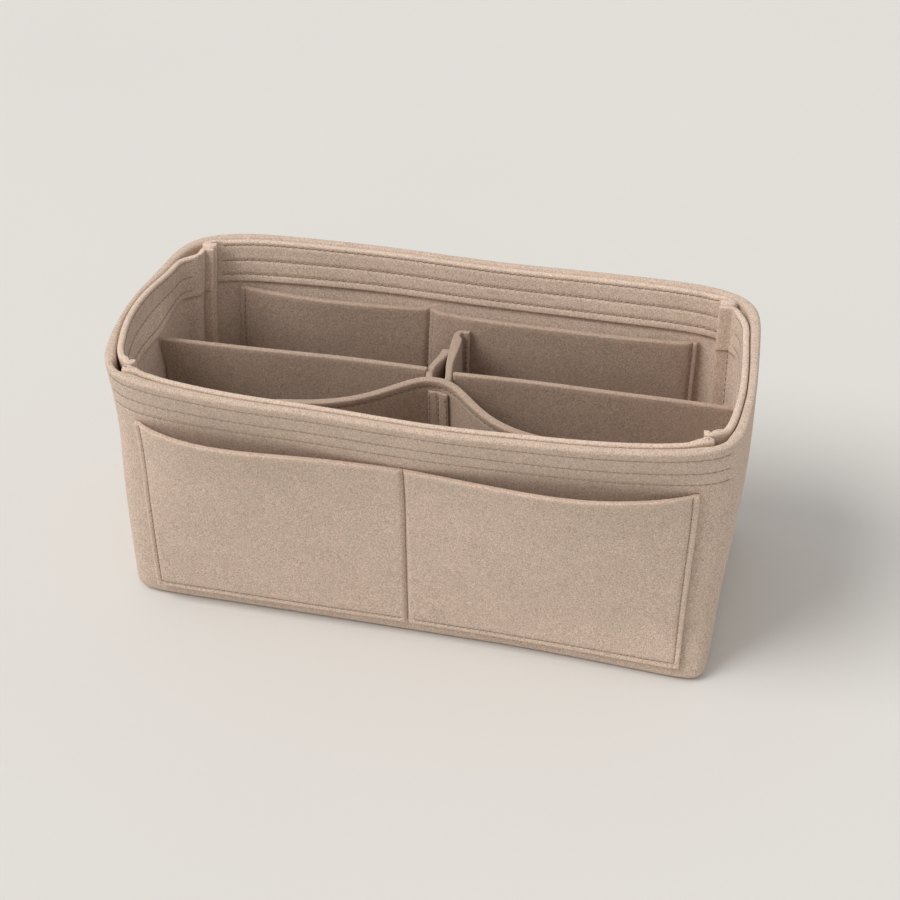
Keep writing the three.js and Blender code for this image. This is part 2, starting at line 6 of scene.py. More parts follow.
import math
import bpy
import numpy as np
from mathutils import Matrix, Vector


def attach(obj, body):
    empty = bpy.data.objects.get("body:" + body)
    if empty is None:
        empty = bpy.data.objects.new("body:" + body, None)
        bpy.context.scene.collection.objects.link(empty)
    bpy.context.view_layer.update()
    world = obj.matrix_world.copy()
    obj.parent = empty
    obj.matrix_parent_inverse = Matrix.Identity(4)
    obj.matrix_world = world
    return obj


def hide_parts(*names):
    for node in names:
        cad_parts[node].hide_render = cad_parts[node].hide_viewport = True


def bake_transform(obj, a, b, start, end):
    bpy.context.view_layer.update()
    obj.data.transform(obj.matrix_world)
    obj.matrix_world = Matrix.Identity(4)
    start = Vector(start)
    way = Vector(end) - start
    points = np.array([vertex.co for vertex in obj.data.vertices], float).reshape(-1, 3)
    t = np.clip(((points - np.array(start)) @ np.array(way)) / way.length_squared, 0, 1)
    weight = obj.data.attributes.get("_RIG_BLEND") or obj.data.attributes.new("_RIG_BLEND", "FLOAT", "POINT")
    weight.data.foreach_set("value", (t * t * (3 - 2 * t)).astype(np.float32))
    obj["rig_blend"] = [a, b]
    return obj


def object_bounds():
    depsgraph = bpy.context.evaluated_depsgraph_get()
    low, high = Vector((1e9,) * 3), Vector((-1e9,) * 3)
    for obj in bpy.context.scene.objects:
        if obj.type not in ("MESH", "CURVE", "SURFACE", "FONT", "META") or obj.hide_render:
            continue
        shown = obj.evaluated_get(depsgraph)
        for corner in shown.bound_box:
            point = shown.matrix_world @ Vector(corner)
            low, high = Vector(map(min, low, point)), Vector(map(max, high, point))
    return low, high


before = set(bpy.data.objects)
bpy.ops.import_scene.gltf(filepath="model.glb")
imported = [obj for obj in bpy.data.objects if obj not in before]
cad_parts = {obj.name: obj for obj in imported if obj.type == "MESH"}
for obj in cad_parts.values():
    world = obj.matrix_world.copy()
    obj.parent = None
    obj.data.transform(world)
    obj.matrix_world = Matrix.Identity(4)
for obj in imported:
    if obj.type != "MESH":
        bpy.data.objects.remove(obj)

from types import SimpleNamespace

import bmesh
import bpy
import numpy as np
from mathutils import Matrix, Vector

bl_info = {
    "name": "Felt purse organizer insert",
    "version": (1, 0, 0),
    "blender": (4, 5, 0),
    "location": "View3D > Sidebar > Organizer",
    "description": "Builds a sewn felt purse organizer insert with pockets, dividers and stitch rows",
    "category": "Add Mesh",
}

MM = 0.001
CAD_BOX = [list(corner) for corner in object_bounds()]
HEIGHT = CAD_BOX[1][2] / MM

# The wall by height: half lengths, how square the corners are, and how far the sides bow
WALL = {
    "z": (0, 30, 60, 85, 104, 127),
    "length": (134.8, 136.4, 138, 139.4, 140.1, 140.3),
    "front": (56.9, 57.2, 57.8, 58.8, 62, 68.6),
    "back": (56.6, 57.6, 59.2, 61.6, 64.8, 68.8),
    "power_x": (24, 20, 15, 11, 9.5, 9),
    "power_y": (18, 15, 12, 9, 8, 7.5),
    "bow_long": (0.5, 1, 2, 3, 4, 4.5),
    "bow_end": (0.5, 1, 1.5, 2.5, 3, 3.5),
}
SETTLE_STEPS = 12

# Layers
FELT = 2.8
LINING = 1.6
PARTITION = 3
SHELL_HEM = 4.4
LINING_HEM = 3.2
STRAP = 1.6
GAP = 0.4

# Hems: heights of their feet and stitch rows, the closer steps beside a row, where the shell's rows end as
# angles round the plan, and the radius of each rolled rim
SHELL_HEM_FOOT = 101.5
LINING_HEM_FOOT = 107
SHELL_ROWS = (121.9, 113.2, 105.9)
LINING_ROWS = (125.3, 117.6, 110.6)
ROW_REACH = (-2.4, -1.5, -0.9, -0.4, 0, 0.4, 0.9, 1.5, 2.4)
SHELL_ROW_ANGLE = math.radians(27)
SHELL_ROW_FADE = (20, 30)
SHELL_ROW_DEPTH = 1.2
SHELL_RIM = 1.6
LINING_RIM = 1.3

# Bottom
SHELL_TURN = 6
SHELL_FOOT = 4.6
BASE_INSET = 7.4
PLATE_BEVEL = 0.5
SEAM_INSET = 6.7
SEAM_HEIGHT = 0.5
FLOOR_INSET = 5.4
FLOOR_BOTTOM = 3.2
FLOOR_TOP = FLOOR_BOTTOM + LINING
PANEL_BOTTOM = FLOOR_TOP + GAP

# Lining and its corner seams
LINING_INSET = SHELL_HEM + GAP
LINING_MIDDLE = LINING_INSET + LINING / 2
LINING_FACE = LINING_INSET + LINING
CORNER_ANGLE = math.radians(34.7)
EAR_LENGTHS = {-1: 4.8, 1: 7.4}
EAR_STEPS = {-1: 1.2, 1: 2.2}
EAR_SEAM_TOP = 122
EAR_HEM = 0.25
EAR_PUFF = 1.2
EAR_RISE = 1.4
EAR_RISE_FOOT = 112
EAR_ROUND = 2
CREASE = 1
CREASE_WIDTH = 0.9
LONG_SHARES = (0.25, 0.45, 0.6, 0.72, 0.82, 0.91, 1)
LONG_TURN = 10
LONG_EAR_POINTS = 6
END_SHARES = (0.3, 0.55, 0.78, 1)
END_TURN = 18
END_EAR_POINTS = 3
# The end linings: how far each leans out and stands up at its rim, how much it thins the shell's hem,
# how far its divider draws it in, how far the seam at its front corner is pushed out and thins the shell
# there, and its bends into the ears, each the distance from the corner and the share of the way to the wall
FRONT_BENDS = ((12.6, 0.98), (8.4, 0.9), (5.5, 0.5))
END_LININGS = {
    "right": SimpleNamespace(
        lean=0.6, stand=0.2, thin=0.12, drawn=1.2, push=1.4, corner_thin=0.2,
        bends={-1: FRONT_BENDS, 1: ((12.6, 0.9), (8.4, 0.66), (5.5, 0.25))},
    ),
    "left": SimpleNamespace(
        lean=1.9, stand=0.5, thin=0.36, drawn=3, push=3.2, corner_thin=0.45,
        bends={-1: FRONT_BENDS, 1: ((15.4, 0.92), (12.4, 0.5), (9.8, -0.15))},
    ),
}
LEAN_FOOT = 98
LEAN_MIDDLE = -5
LEAN_REACH = (6, 36)
THIN_HEIGHTS = (LEAN_FOOT - 4, 120)
THIN_CORNER = (5, 15)
PUSH_HEIGHTS = (LEAN_FOOT, 118)
PUSH_WALL_SHARE = 0.4
DRAW_WIDTH = 16
DRAW_HEIGHTS = (8, 60)
DRAW_FADE = (LINING_HEM_FOOT, 122)

# Pockets, by the long wall that each is sewn to: -1 is the front. A half's share runs from the middle seam to
# its outer side. It tapers to its foot, gapes at its mouth, and lifts or arches its top edge
SEAM_GROOVE = 0.12
SEAM_PULL = 1.5
BORDER = 2.5
GAPE_MARGIN = 0.02
GAPE_POWER = 1.5
SWING_MARGIN = 0.03
SWING_POWER = 0.9
POCKETS = {
    "front": SimpleNamespace(
        wall=-1, inset=0, seam=-0.9, foot=8.6, top=99, foot_row=True, felt="shell", carrier="outer_shell",
        moving=("left", "right"), halves={
            "left": SimpleNamespace(
                sign=-1, outer=-122.6, taper=1.8, most=6.4, swell=0.8, skew=1.8, lift=2.4, arch=0),
            "right": SimpleNamespace(
                sign=1, outer=123.2, taper=0.2, most=7, swell=0.8, skew=1.45, lift=2.4, arch=0),
        },
    ),
    "back": SimpleNamespace(
        wall=1, inset=LINING_FACE, seam=-17, foot=12, top=102.2, foot_row=False, felt="panel",
        carrier="lining_back", moving=("left",), halves={
            "left": SimpleNamespace(
                sign=-1, outer=-109, taper=0, most=6.6, swell=0.8, skew=1, lift=2.4, arch=0.9),
            "right": SimpleNamespace(
                sign=1, outer=110.5, taper=0, most=7.2, swell=0.5, skew=1, lift=1, arch=1.9),
        },
    ),
}

# Dividers, bowed panel and partitions
DIVIDERS = {
    "left": SimpleNamespace(sign=-1, inner=-5.2, outer_y=1.6, inner_y=4),
    "right": SimpleNamespace(sign=1, inner=7.3, outer_y=2.8, inner_y=2.8),
}
DIVIDER_TOP = 105.2
DIVIDER_BOW = 0.8
BOW_TOP = 106
BOW_HALF = 112
BOW_INSET = LINING_INSET + LINING_HEM + GAP
BOW_APEX_Y = -4.3
# Each side of the bow is a narrow core, which falls off with a power, and a long tail that keeps the rest
BOW_SIDES = {
    "left": SimpleNamespace(core=0.735, width=27, power=2.09),
    "right": SimpleNamespace(core=0.768, width=24.7, power=2.5),
}
BOW_TAIL_START = 60
BOW_STEP = 1.6
BOW_ROW = 102
BOW_HEM = 0.25
STRAP_LEFT = -2.9
STRAP_RIGHT = 8.3
STRAP_TOP = 101
STRAP_BACK = -FELT / 2 - GAP
STRAP_COLUMNS = 34
STRAP_SEAMS = {"left": -2.3, "middle": 2.7, "right": 7.7}
PARTITION_TOP = 104.5
PARTITION_FRONT_Y = -2.4
PARTITION_FALL = 0.12
PARTITION_FALL_GROWTH = 0.0003
TAB_Y = 48
TAB_X = 4.8
TAB_ROW_X = 3.4
FLAP_PUFF = 1.8
PUFF_START = (6, 36)
PUFF_END = (TAB_Y - 9, TAB_Y - 5)
FLAP_STEP = 1.2
RIGHT_FLAP = ((0.4, 33), (1.4, 25), (2.3, 18), (3.3, 12), (4.5, 6), (5.3, 1.5), (5.7, PARTITION_FRONT_Y))
LEFT_FLAP = (
    (-2, 26.5), (-2, 23.5), (-2.4, 19), (-3.2, 14), (-3.9, 9), (-3.9, 4), (-3.2, 0),
    (-2.4, PARTITION_FRONT_Y),
)

# How the soft tub has settled: the long rims sag, the ends bulge or are pinched in, and the front right foot
# spreads. A pair of numbers is where an effect starts and where it is full, apart from SAG_LOSS, the share of
# the sag that is lost towards the left and the right corner
RIM_SAG = 1.5
BACK_SAG = 0.9
SAG_HEIGHTS = (92, HEIGHT)
SAG_FADE = (60, 130)
SAG_LOSS = (0.95, 0.5)
BACK_SAG_FADE = (30, 120)
RIM_SPREAD = 1.1
FOOT_SPREAD = 7
SPREAD_START = -10
SPREAD_LENGTH = 140
SPREAD_FADE = (0, 30)
LONG_WALLS = (20, 50)
END_WALLS = (95, 135)
PINCH_HEIGHTS = (85, 125)
END_SETTLING = (
    SimpleNamespace(
        sign=-1, bulge=1.1, middle=-20, reach=(5, 42), heights=PINCH_HEIGHTS, pinch=1.2, back=(0, 35)),
    SimpleNamespace(
        sign=1, bulge=1.9, middle=-30, reach=(10, 60), heights=(20, 95), pinch=0.6, back=(15, 45)),
)
# Waves of the felt: the axis it moves along, its share, its lengths along x, y and z, and its phase
WAVES = (
    (0, 1, (math.inf, 21, 34), 1.3),
    (1, 1, (27, math.inf, 38), 0.7),
    (1, 0.5, (13, math.inf, -29), 2.1),
    (2, 1, (31, 19, math.inf), 0.4),
)

# Felt edges and seams
EDGE_ROUND = 0.8
EDGE_FLAT_SHARE = 0.3
EDGE_ROUND_SHARE = 0.42
END_CUT = (0.3, 1.2)
EDGE_REACH = (0, 0.12, 0.4, 0.8, 1.3, 1.8, 2.2, 2.5, 2.8, 3.3, 4.2)
DIP_WIDTH = 0.75
FAINT = 0.5
HOLE_RISE = 0.12
THREAD_LIFT = 0.35
FACE_STEP = 2.2
LEVEL_SPACE = 0.5
LINING_STEP = 1.8
FORWARD = (0, -1, 0)

# Finishes: each layer of fibres with its noise and what it adds to the shade and to the height, and the
# roughness, contrast and scale of the speckled ones
FIBRES = {
    "fine": SimpleNamespace(scale=1400, detail=3, rough=0.7, shade=1.45, height=0.6),
    "clump": SimpleNamespace(scale=420, detail=2, rough=0.6, shade=0.25, height=0.6),
    "fleck": SimpleNamespace(scale=2300, detail=1, rough=0.5, shade=1, height=0.3),
    "broad": SimpleNamespace(scale=75, detail=2, rough=0.5, shade=0.14, height=0),
}
TINT_SCALE = 190
TINTS = ((1.025, 0.988, 0.993, 1), (0.983, 1.01, 1, 1))
# Painted highlight: raw cut edges are drawn lighter by this share, for the light that the top edges catch
CUT_EDGE_HIGHLIGHT = 0.1
LEAST_ROUGHNESS = 0.84
FELT_SHADER = {"Specular IOR Level": 0.15, "Sheen Weight": 0.12, "Sheen Roughness": 0.6}
SPECKLED = {
    "thread": ("sewing_thread", 0.75, 0.3, 1800),
    "hole": ("needle_hole", 0.95, 0.4, 1500),
    "floor": ("floor_paper", 0.9, 0.02, 3),
}

# Stage
FLOOR_HALF = 3
SKY_COLOUR = (1, 0.985, 0.96, 1)
SKY_STRENGTH = 0.55
KEY_FROM = (-0.58, -0.3, 0.76)
KEY_SPREAD = math.radians(36)
KEY_STRENGTH = 1.92
KEY_COLOUR = (1, 0.98, 0.95)

# Camera, as it stood for the photograph
CAMERA_PLACE = (161.3, -677.0, 593.1)
CAMERA_YAW = -0.22594
CAMERA_PITCH = 0.65128
CAMERA_ROLL = 0.00647
CAMERA_LENS = 76
CAMERA_SENSOR = 36


class OrganizerSizes(bpy.types.PropertyGroup):
    """Sizes of the sewing that a user may change"""

    stitch_pitch: bpy.props.FloatProperty(
        name="Stitch pitch", description="From one needle hole to the next",
        default=3.0 * MM, min=1 * MM, unit="LENGTH", precision=5,
    )
    stitch_length: bpy.props.FloatProperty(
        name="Stitch length", description="Length of thread that shows between two holes",
        default=2.5 * MM, min=0.5 * MM, unit="LENGTH", precision=5,
    )
    thread_radius: bpy.props.FloatProperty(
        name="Thread radius", description="Half the thickness of the sewing thread",
        default=0.3 * MM, min=0.05 * MM, unit="LENGTH", precision=5,
    )
    hole_radius: bpy.props.FloatProperty(
        name="Needle hole radius", description="Half the width of the hole between two stitches",
        default=0.36 * MM, min=0.05 * MM, unit="LENGTH", precision=5,
    )
    seam_dip: bpy.props.FloatProperty(
        name="Seam dip", description="How deep a stitch row pulls the felt in",
        default=0.45 * MM, min=0, unit="LENGTH", precision=5,
    )
    felt_wave: bpy.props.FloatProperty(
        name="Felt wave", description="How far the soft walls wander from true at the rim",
        default=0.5 * MM, min=0, unit="LENGTH", precision=5,
    )


class OrganizerColours(bpy.types.PropertyGroup):
    """Colours of the felt, the thread and the stage"""

    shell: bpy.props.FloatVectorProperty(
        name="Shell felt", description="Outer felt", subtype="COLOR", size=3,
        default=(0.600, 0.470, 0.380), min=0, max=1,
    )
    # Painted light: the lining is the shell's felt drawn lighter, for the light on its hem
    lining: bpy.props.FloatVectorProperty(
        name="Lining felt", description="Inner felt", subtype="COLOR", size=3,
        default=(0.690, 0.545, 0.445), min=0, max=1,
    )
    # Painted shade: the panels are the shell's felt drawn darker, for the shade inside the tub
    panel: bpy.props.FloatVectorProperty(
        name="Panel felt", description="Dividers and inside pockets", subtype="COLOR", size=3,
        default=(0.425, 0.317, 0.249), min=0, max=1,
    )
    # Painted shade: the thread is drawn darker than the felt, for the shadow of the stitch groove it lies in
    thread: bpy.props.FloatVectorProperty(
        name="Thread", description="Sewing thread", subtype="COLOR", size=3,
        default=(0.400, 0.300, 0.235), min=0, max=1,
    )
    hole: bpy.props.FloatVectorProperty(
        name="Needle hole", description="Shadow in a needle hole", subtype="COLOR", size=3,
        default=(0.090, 0.062, 0.045), min=0, max=1,
    )
    floor: bpy.props.FloatVectorProperty(
        name="Floor", description="Pale studio floor", subtype="COLOR", size=3,
        default=(0.750, 0.738, 0.718), min=0, max=1,
    )


def sizes():
    """The sewing sizes in millimetres"""
    group = bpy.context.scene.organizer_sizes
    return SimpleNamespace(**{key: getattr(group, key) / MM for key in OrganizerSizes.__annotations__})


def colours():
    """The colours of the felt, thread and stage"""
    return bpy.context.scene.organizer_colours


# Curves and the wall


def curve(stops, values):
    """A smooth curve through values at the stops, as a function of the place along them"""
    stops, values = np.asarray(stops, float), np.asarray(values, float)
    slope = np.gradient(values, stops)

    def read(at):
        at = np.clip(at, stops[0], stops[-1])
        i = np.clip(np.searchsorted(stops, at, side="right") - 1, 0, len(stops) - 2)
        step = stops[i + 1] - stops[i]
        rise = values[i + 1] - values[i]
        t = (at - stops[i]) / step
        early = slope[i] * step - rise
        late = rise - slope[i + 1] * step
        return values[i] + rise * t + t * (1 - t) * (early * (1 - t) + late * t)

    return read


WALL_CURVES = {key: curve(WALL["z"], values) for key, values in WALL.items() if key != "z"}


def running(points):
    """Distance along a row of points, from its first"""
    return np.concatenate(([0], np.cumsum(np.linalg.norm(np.diff(points, axis=0), axis=1))))


def ease(low, high, value):
    """0 below low, 1 above high and smooth between"""
    t = np.clip((value - low) / (high - low), 0, 1)
    return t * t * (3 - 2 * t)


def wall_at(z):
    """The wall's sizes at a height"""
    return SimpleNamespace(**{key: read(z) for key, read in WALL_CURVES.items()})


def wall_point(angle, inset, z):
    """Points of the wall at angles round the plan; the front has the negative angles"""
    wall = wall_at(z)
    depth = np.where(np.sin(angle) < 0, wall.front, wall.back)
    c = np.abs(np.cos(angle)) ** (2 / wall.power_x)
    s = np.abs(np.sin(angle)) ** (2 / wall.power_y)
    x = np.sign(np.cos(angle)) * (wall.length - inset) * c * (1 - wall.bow_end / wall.length * s**2)
    y = np.sign(np.sin(angle)) * (depth - inset) * s * (1 - wall.bow_long / depth * c**2)
    return np.stack(np.broadcast_arrays(x, y, z), axis=-1)


def wall_y(x, z, inset, sign):
    """Y of the long wall at x: the front for sign -1, the back for sign 1"""
    wall = wall_at(z)
    depth = wall.front if sign < 0 else wall.back
    s = 1
    for _ in range(SETTLE_STEPS):
        c = np.abs(x) / ((wall.length - inset) * (1 - wall.bow_end / wall.length * s**2))
        c = np.clip(c, 0, 1)
        s = (1 - c**wall.power_x) ** (1 / wall.power_y)
    return sign * (depth - inset) * s * (1 - wall.bow_long / depth * c**2)


def wall_x(y, z, inset):
    """Half length of the wall at y"""
    wall = wall_at(z)
    depth = np.where(np.asarray(y) < 0, wall.front, wall.back)
    c = 1
    for _ in range(SETTLE_STEPS):
        s = np.abs(y) / ((depth - inset) * (1 - wall.bow_long / depth * c**2))
        s = np.clip(s, 0, 1)
        c = (1 - s**wall.power_y) ** (1 / wall.power_x)
    return (wall.length - inset) * c * (1 - wall.bow_end / wall.length * s**2)


def ring_angles(count):
    """Angles round the plan that are the same distance apart along the rim"""
    fine = np.linspace(-math.pi, math.pi, 40 * count + 1)
    rim = wall_point(fine, 0, HEIGHT)
    run = running(rim)
    return np.interp(np.arange(count) * run[-1] / count, run, fine)


def sway(points):
    """The slight waviness of soft felt and how the tub has settled, shared by every layer"""
    x, y, z = np.moveaxis(points, -1, 0)
    level = np.clip(z / HEIGHT, 0, 1)
    lift = sizes().felt_wave * level
    moved = np.zeros_like(points)
    for axis, share, lengths, phase in WAVES:
        moved[..., axis] += lift * share * np.sin((points / lengths).sum(axis=-1) + phase)
    along, across, up = np.moveaxis(moved, -1, 0)
    front, back = ease(*LONG_WALLS, -y), ease(*LONG_WALLS, y)
    high = ease(*SAG_HEIGHTS, z)
    sag = front * high * (1 - np.where(x < 0, *SAG_LOSS) * ease(*SAG_FADE, np.abs(x)))
    back_sag = back * high * (1 - ease(*BACK_SAG_FADE, np.abs(x)))
    spread = front * np.clip((x - SPREAD_START) / SPREAD_LENGTH, 0, 1) ** 2 * (1 - ease(*SPREAD_FADE, z))
    for end in END_SETTLING:
        bulge = end.bulge * (1 - ease(*end.reach, np.abs(y - end.middle))) * ease(*end.heights, z)
        pinch = end.pinch * ease(*end.back, y) * ease(*PINCH_HEIGHTS, z)
        along = along + end.sign * ease(*END_WALLS, end.sign * x) * (bulge - pinch)
    across = across - RIM_SPREAD * sag - FOOT_SPREAD * spread
    up = up * level - RIM_SAG * sag - BACK_SAG * back_sag
    return points + np.stack([along, across, up], axis=-1)


def dip(distance):
    """How far a stitch row pulls felt in at a distance from the row"""
    return sizes().seam_dip * np.exp(-((np.asarray(distance) / DIP_WIDTH) ** 2))


def row_dip(z, rows):
    """The pull of several level stitch rows at a height"""
    return sum(dip(z - row) for row in rows)


# Sections of felt pieces: rows of (depth, height, cut), where cut marks a raw edge, drawn lighter by the
# felt's finish as a painted highlight


def levels(low, high, rows=()):
    """Heights from low to high, closer together by stitch rows"""
    near = [row + reach for row in rows for reach in ROW_REACH if low < row + reach < high]
    even = np.linspace(low, high, max(2, round((high - low) / FACE_STEP) + 1))
    kept = [z for z in even[1:-1] if all(abs(z - other) > LEVEL_SPACE for other in near)]
    return sorted([low, *kept, *near, high])


def arc(depth, height, radius, first, steps=4):
    """A quarter round of a raw edge, from an angle in degrees and turning left"""
    turns = [math.radians(first + 90 * step / steps) for step in range(steps + 1)]
    return [(depth + radius * math.cos(t), height + radius * math.sin(t), 1) for t in turns]


def panel_section(inner, outer, foot, top, rows=()):
    """Round a felt panel: up its outer face, over the top edge, down its inner face"""
    round_off = min(EDGE_ROUND, (outer - inner) * EDGE_ROUND_SHARE)
    face = [(outer, z, 0) for z in levels(foot + round_off, top - round_off, rows)][1:-1]
    back = [(inner, z, 0) for z in reversed(levels(foot + round_off, top - round_off))][1:-1]
    return np.array([
        *arc(outer - round_off, foot + round_off, round_off, -90),
        *face,
        *arc(outer - round_off, top - round_off, round_off, 0),
        *arc(inner + round_off, top - round_off, round_off, 90),
        *back,
        *arc(inner + round_off, foot + round_off, round_off, 180),
    ])


def rolled_rim(radius, thickness, degrees):
    """The round top of a turned hem, over from its outer side to its inner side"""
    outer = [
        (radius * (1 - math.cos(t)), HEIGHT - radius * (1 - math.sin(t)), 0.5) for t in np.radians(degrees)
    ]
    return outer + [(thickness - inset, z, cut) for inset, z, cut in reversed(outer)]


def spaced(length, step=FACE_STEP):
    """Distances along a felt piece, close together at both cut ends"""
    ends = [reach for reach in EDGE_REACH if reach < length / 2]
    middle = np.linspace(ends[-1], length - ends[-1], max(2, round((length - 2 * ends[-1]) / step) + 1))
    return np.array([*ends[:-1], *middle, *[length - reach for reach in reversed(ends[:-1])]])


# Meshes


def felt_mesh(name, points, cut, closed):
    """A closed felt mesh through points[column][section], its ends capped unless the columns close"""
    across, along = points.shape[:2]
    rows = across if closed else across - 1
    felt = bmesh.new()
    # Mask of the raw cut edges, which the felt's finish draws lighter as a painted highlight
    mask = felt.verts.layers.float.new("cut_edge")
    bmesh.ops.create_grid(felt, x_segments=along, y_segments=rows, size=1)
    for vert in felt.verts:
        i = round((vert.co.y + 1) / 2 * rows) % across
        j = round((vert.co.x + 1) / 2 * along) % along
        vert.co = points[i, j] * MM
        vert[mask] = cut[i, j]
    bmesh.ops.remove_doubles(felt, verts=felt.verts, dist=0.001 * MM)
    for face in felt.faces:
        face.smooth = True
    open_edges = [edge for edge in felt.edges if edge.is_boundary]
    bmesh.ops.holes_fill(felt, edges=open_edges, sides=0)
    bmesh.ops.recalc_face_normals(felt, faces=felt.faces)
    return finished(name, felt)


def finished(name, shape):
    """A new object that holds a finished bmesh"""
    mesh = bpy.data.meshes.new(name)
    shape.to_mesh(mesh)
    shape.free()
    piece = bpy.data.objects.new(name, mesh)
    bpy.context.scene.collection.objects.link(piece)
    return piece


def felt_piece(node, columns, reach, section, at, closed=False, edge=EDGE_ROUND):
    """The felt of a node, a section carried through columns; reach is how far each is from a cut end"""
    depth, height, cut = section.T
    middle = (depth.min() + depth.max()) / 2
    turned = np.clip(reach / edge, 0, 1)
    kept = EDGE_FLAT_SHARE + (1 - EDGE_FLAT_SHARE) * np.sqrt(1 - (1 - turned) ** 2)
    lines = [at(columns, middle + (d - middle) * kept, z) for d, z in zip(depth, height)]
    points = sway(np.stack(lines, axis=1))
    ends = 1 - ease(*END_CUT, reach)
    return felt_mesh(f"{node}_felt", points, np.maximum(cut[None, :], ends[:, None]), closed)


def stitch_row(name, line, outward, strength=1):
    """Short lengths of thread along a line on the felt, with a dark flat bead before each as the painted
    shadow of its needle hole.

    The strength is the size of the holes, from nothing to 1.
    """
    size = sizes()
    line = sway(np.asarray(line, float))
    run = running(line)
    count = max(1, round(run[-1] / size.stitch_pitch))
    pitch = run[-1] / count
    half = size.stitch_length / size.stitch_pitch * pitch / 2
    row = bmesh.new()
    thick = size.thread_radius
    add_bead(row, pitch / 2, THREAD_LIFT * thick, (half, thick, thick), 5, 0)
    # Each needle hole is a dark flat bead on the felt: a painted shadow
    hole = size.hole_radius * strength
    if hole:
        add_bead(row, 0, 0, (hole, hole, HOLE_RISE), 3, 1)
    one = row.verts[:] + row.edges[:] + row.faces[:]
    bmesh.ops.spin(
        row, geom=one, axis=(0, 0, 1), dvec=(pitch, 0, 0), angle=0, steps=count - 1, use_duplicate=True
    )
    lay_along(row, line, run, outward)
    return finished(name, row)


def add_bead(row, place, lift, shape, rings, material):
    """One stitch, or the painted shadow of a needle hole, of a straight row: a ball drawn out along X"""
    long, wide, high = shape
    turn = Matrix(((0, 0, long, place), (0, wide, 0, 0), (-high, 0, 0, lift), (0, 0, 0, 1)))
    ball = bmesh.ops.create_uvsphere(row, u_segments=6, v_segments=rings, radius=1, matrix=turn)
    for face in {face for vert in ball["verts"] for face in vert.link_faces}:
        face.material_index = material
        face.smooth = True


def lay_along(row, line, run, outward):
    """Bends a straight row onto its line: X runs along it, Y to its side and Z outwards"""
    places = np.array([vert.co for vert in row.verts])
    ahead = np.gradient(line, run, axis=0)
    ahead /= np.linalg.norm(ahead, axis=1)[:, None]
    side = np.cross(np.asarray(outward, float), ahead)
    side /= np.linalg.norm(side, axis=1)[:, None]
    up = np.cross(ahead, side)

    def read(values):
        return np.column_stack([np.interp(places[:, 0], run, values[:, k]) for k in range(3)])

    before = np.minimum(places[:, 0], 0)[:, None] * read(ahead)
    laid = read(line) + before + places[:, 1:2] * read(side) + places[:, 2:3] * read(up)
    for vert, place in zip(row.verts, laid * MM):
        vert.co = place


# Materials


def add_node(tree, kind, **inputs):
    """A node with some of its inputs set"""
    node = tree.nodes.new(kind)
    for key, value in inputs.items():
        node.inputs[key.replace("_", " ")].default_value = value
    return node


def feed(tree, socket, value):
    """Links a socket to another, or gives it a number or a colour"""
    if isinstance(value, bpy.types.NodeSocket):
        tree.links.new(value, socket)
    else:
        socket.default_value = value


def maths(tree, operation, first, second):
    """A maths node between two sockets or numbers"""
    node = tree.nodes.new("ShaderNodeMath")
    node.operation = operation
    for socket, value in zip(node.inputs, (first, second)):
        feed(tree, socket, value)
    return node.outputs[0]


def noise(tree, vector, scale, detail, roughness=0.5):
    """Noise on a vector, from 0 to 1"""
    node = add_node(tree, "ShaderNodeTexNoise", Scale=scale, Detail=detail, Roughness=roughness)
    tree.links.new(vector, node.inputs["Vector"])
    return node.outputs[0]


def blend_colour(tree, mode, factor, first, second):
    """Two colours mixed by a factor"""
    node = tree.nodes.new("ShaderNodeMix")
    node.data_type = "RGBA"
    node.blend_type = mode
    for socket, value in ((0, factor), (6, first), (7, second)):
        feed(tree, node.inputs[socket], value)
    return node.outputs[2]


def felt_fibres():
    """Shared group: the matted fibres of felt as a colour, a roughness and a height, with raw cut edges drawn
    lighter as a painted highlight
    """
    name = "felt_fibres"
    if name in bpy.data.node_groups:
        return bpy.data.node_groups[name]
    tree = bpy.data.node_groups.new(name, "ShaderNodeTree")
    for label, kind in (("Vector", "Vector"), ("Felt", "Color"), ("Cut Edge", "Float")):
        tree.interface.new_socket(name=label, in_out="INPUT", socket_type=f"NodeSocket{kind}")
    for label, kind in (("Colour", "Color"), ("Roughness", "Float"), ("Height", "Float")):
        tree.interface.new_socket(name=label, in_out="OUTPUT", socket_type=f"NodeSocket{kind}")
    given = tree.nodes.new("NodeGroupInput")
    put = tree.nodes.new("NodeGroupOutput")
    vector = given.outputs["Vector"]
    # Painted highlight: the tone starts lighter on raw cut edges, and the fibres add their grain to it
    shade = maths(tree, "MULTIPLY", given.outputs["Cut Edge"], CUT_EDGE_HIGHLIGHT)
    height = 0
    fibres = {}
    for key, layer in FIBRES.items():
        fibres[key] = noise(tree, vector, layer.scale, layer.detail, layer.rough)
        part = maths(tree, "MULTIPLY", maths(tree, "SUBTRACT", fibres[key], 0.5), layer.shade)
        shade = maths(tree, "ADD", shade, part)
        height = maths(tree, "ADD", height, maths(tree, "MULTIPLY", fibres[key], layer.height))
    level = maths(tree, "ADD", shade, 1)
    grey = tree.nodes.new("ShaderNodeCombineColor")
    for socket in grey.inputs:
        tree.links.new(level, socket)
    tint = blend_colour(tree, "MIX", noise(tree, vector, TINT_SCALE, 2), *TINTS)
    colour = blend_colour(tree, "MULTIPLY", 1, given.outputs["Felt"], tint)
    colour = blend_colour(tree, "MULTIPLY", 1, colour, grey.outputs[0])
    rough = maths(tree, "MULTIPLY", fibres["fine"], 1 - LEAST_ROUGHNESS)
    tree.links.new(colour, put.inputs["Colour"])
    tree.links.new(maths(tree, "ADD", rough, LEAST_ROUGHNESS), put.inputs["Roughness"])
    tree.links.new(height, put.inputs["Height"])
    return tree


def new_material(name):
    """A new node material with its node tree and its shader"""
    material = bpy.data.materials.new(name)
    material.use_nodes = True
    return material, material.node_tree, material.node_tree.nodes["Principled BSDF"]


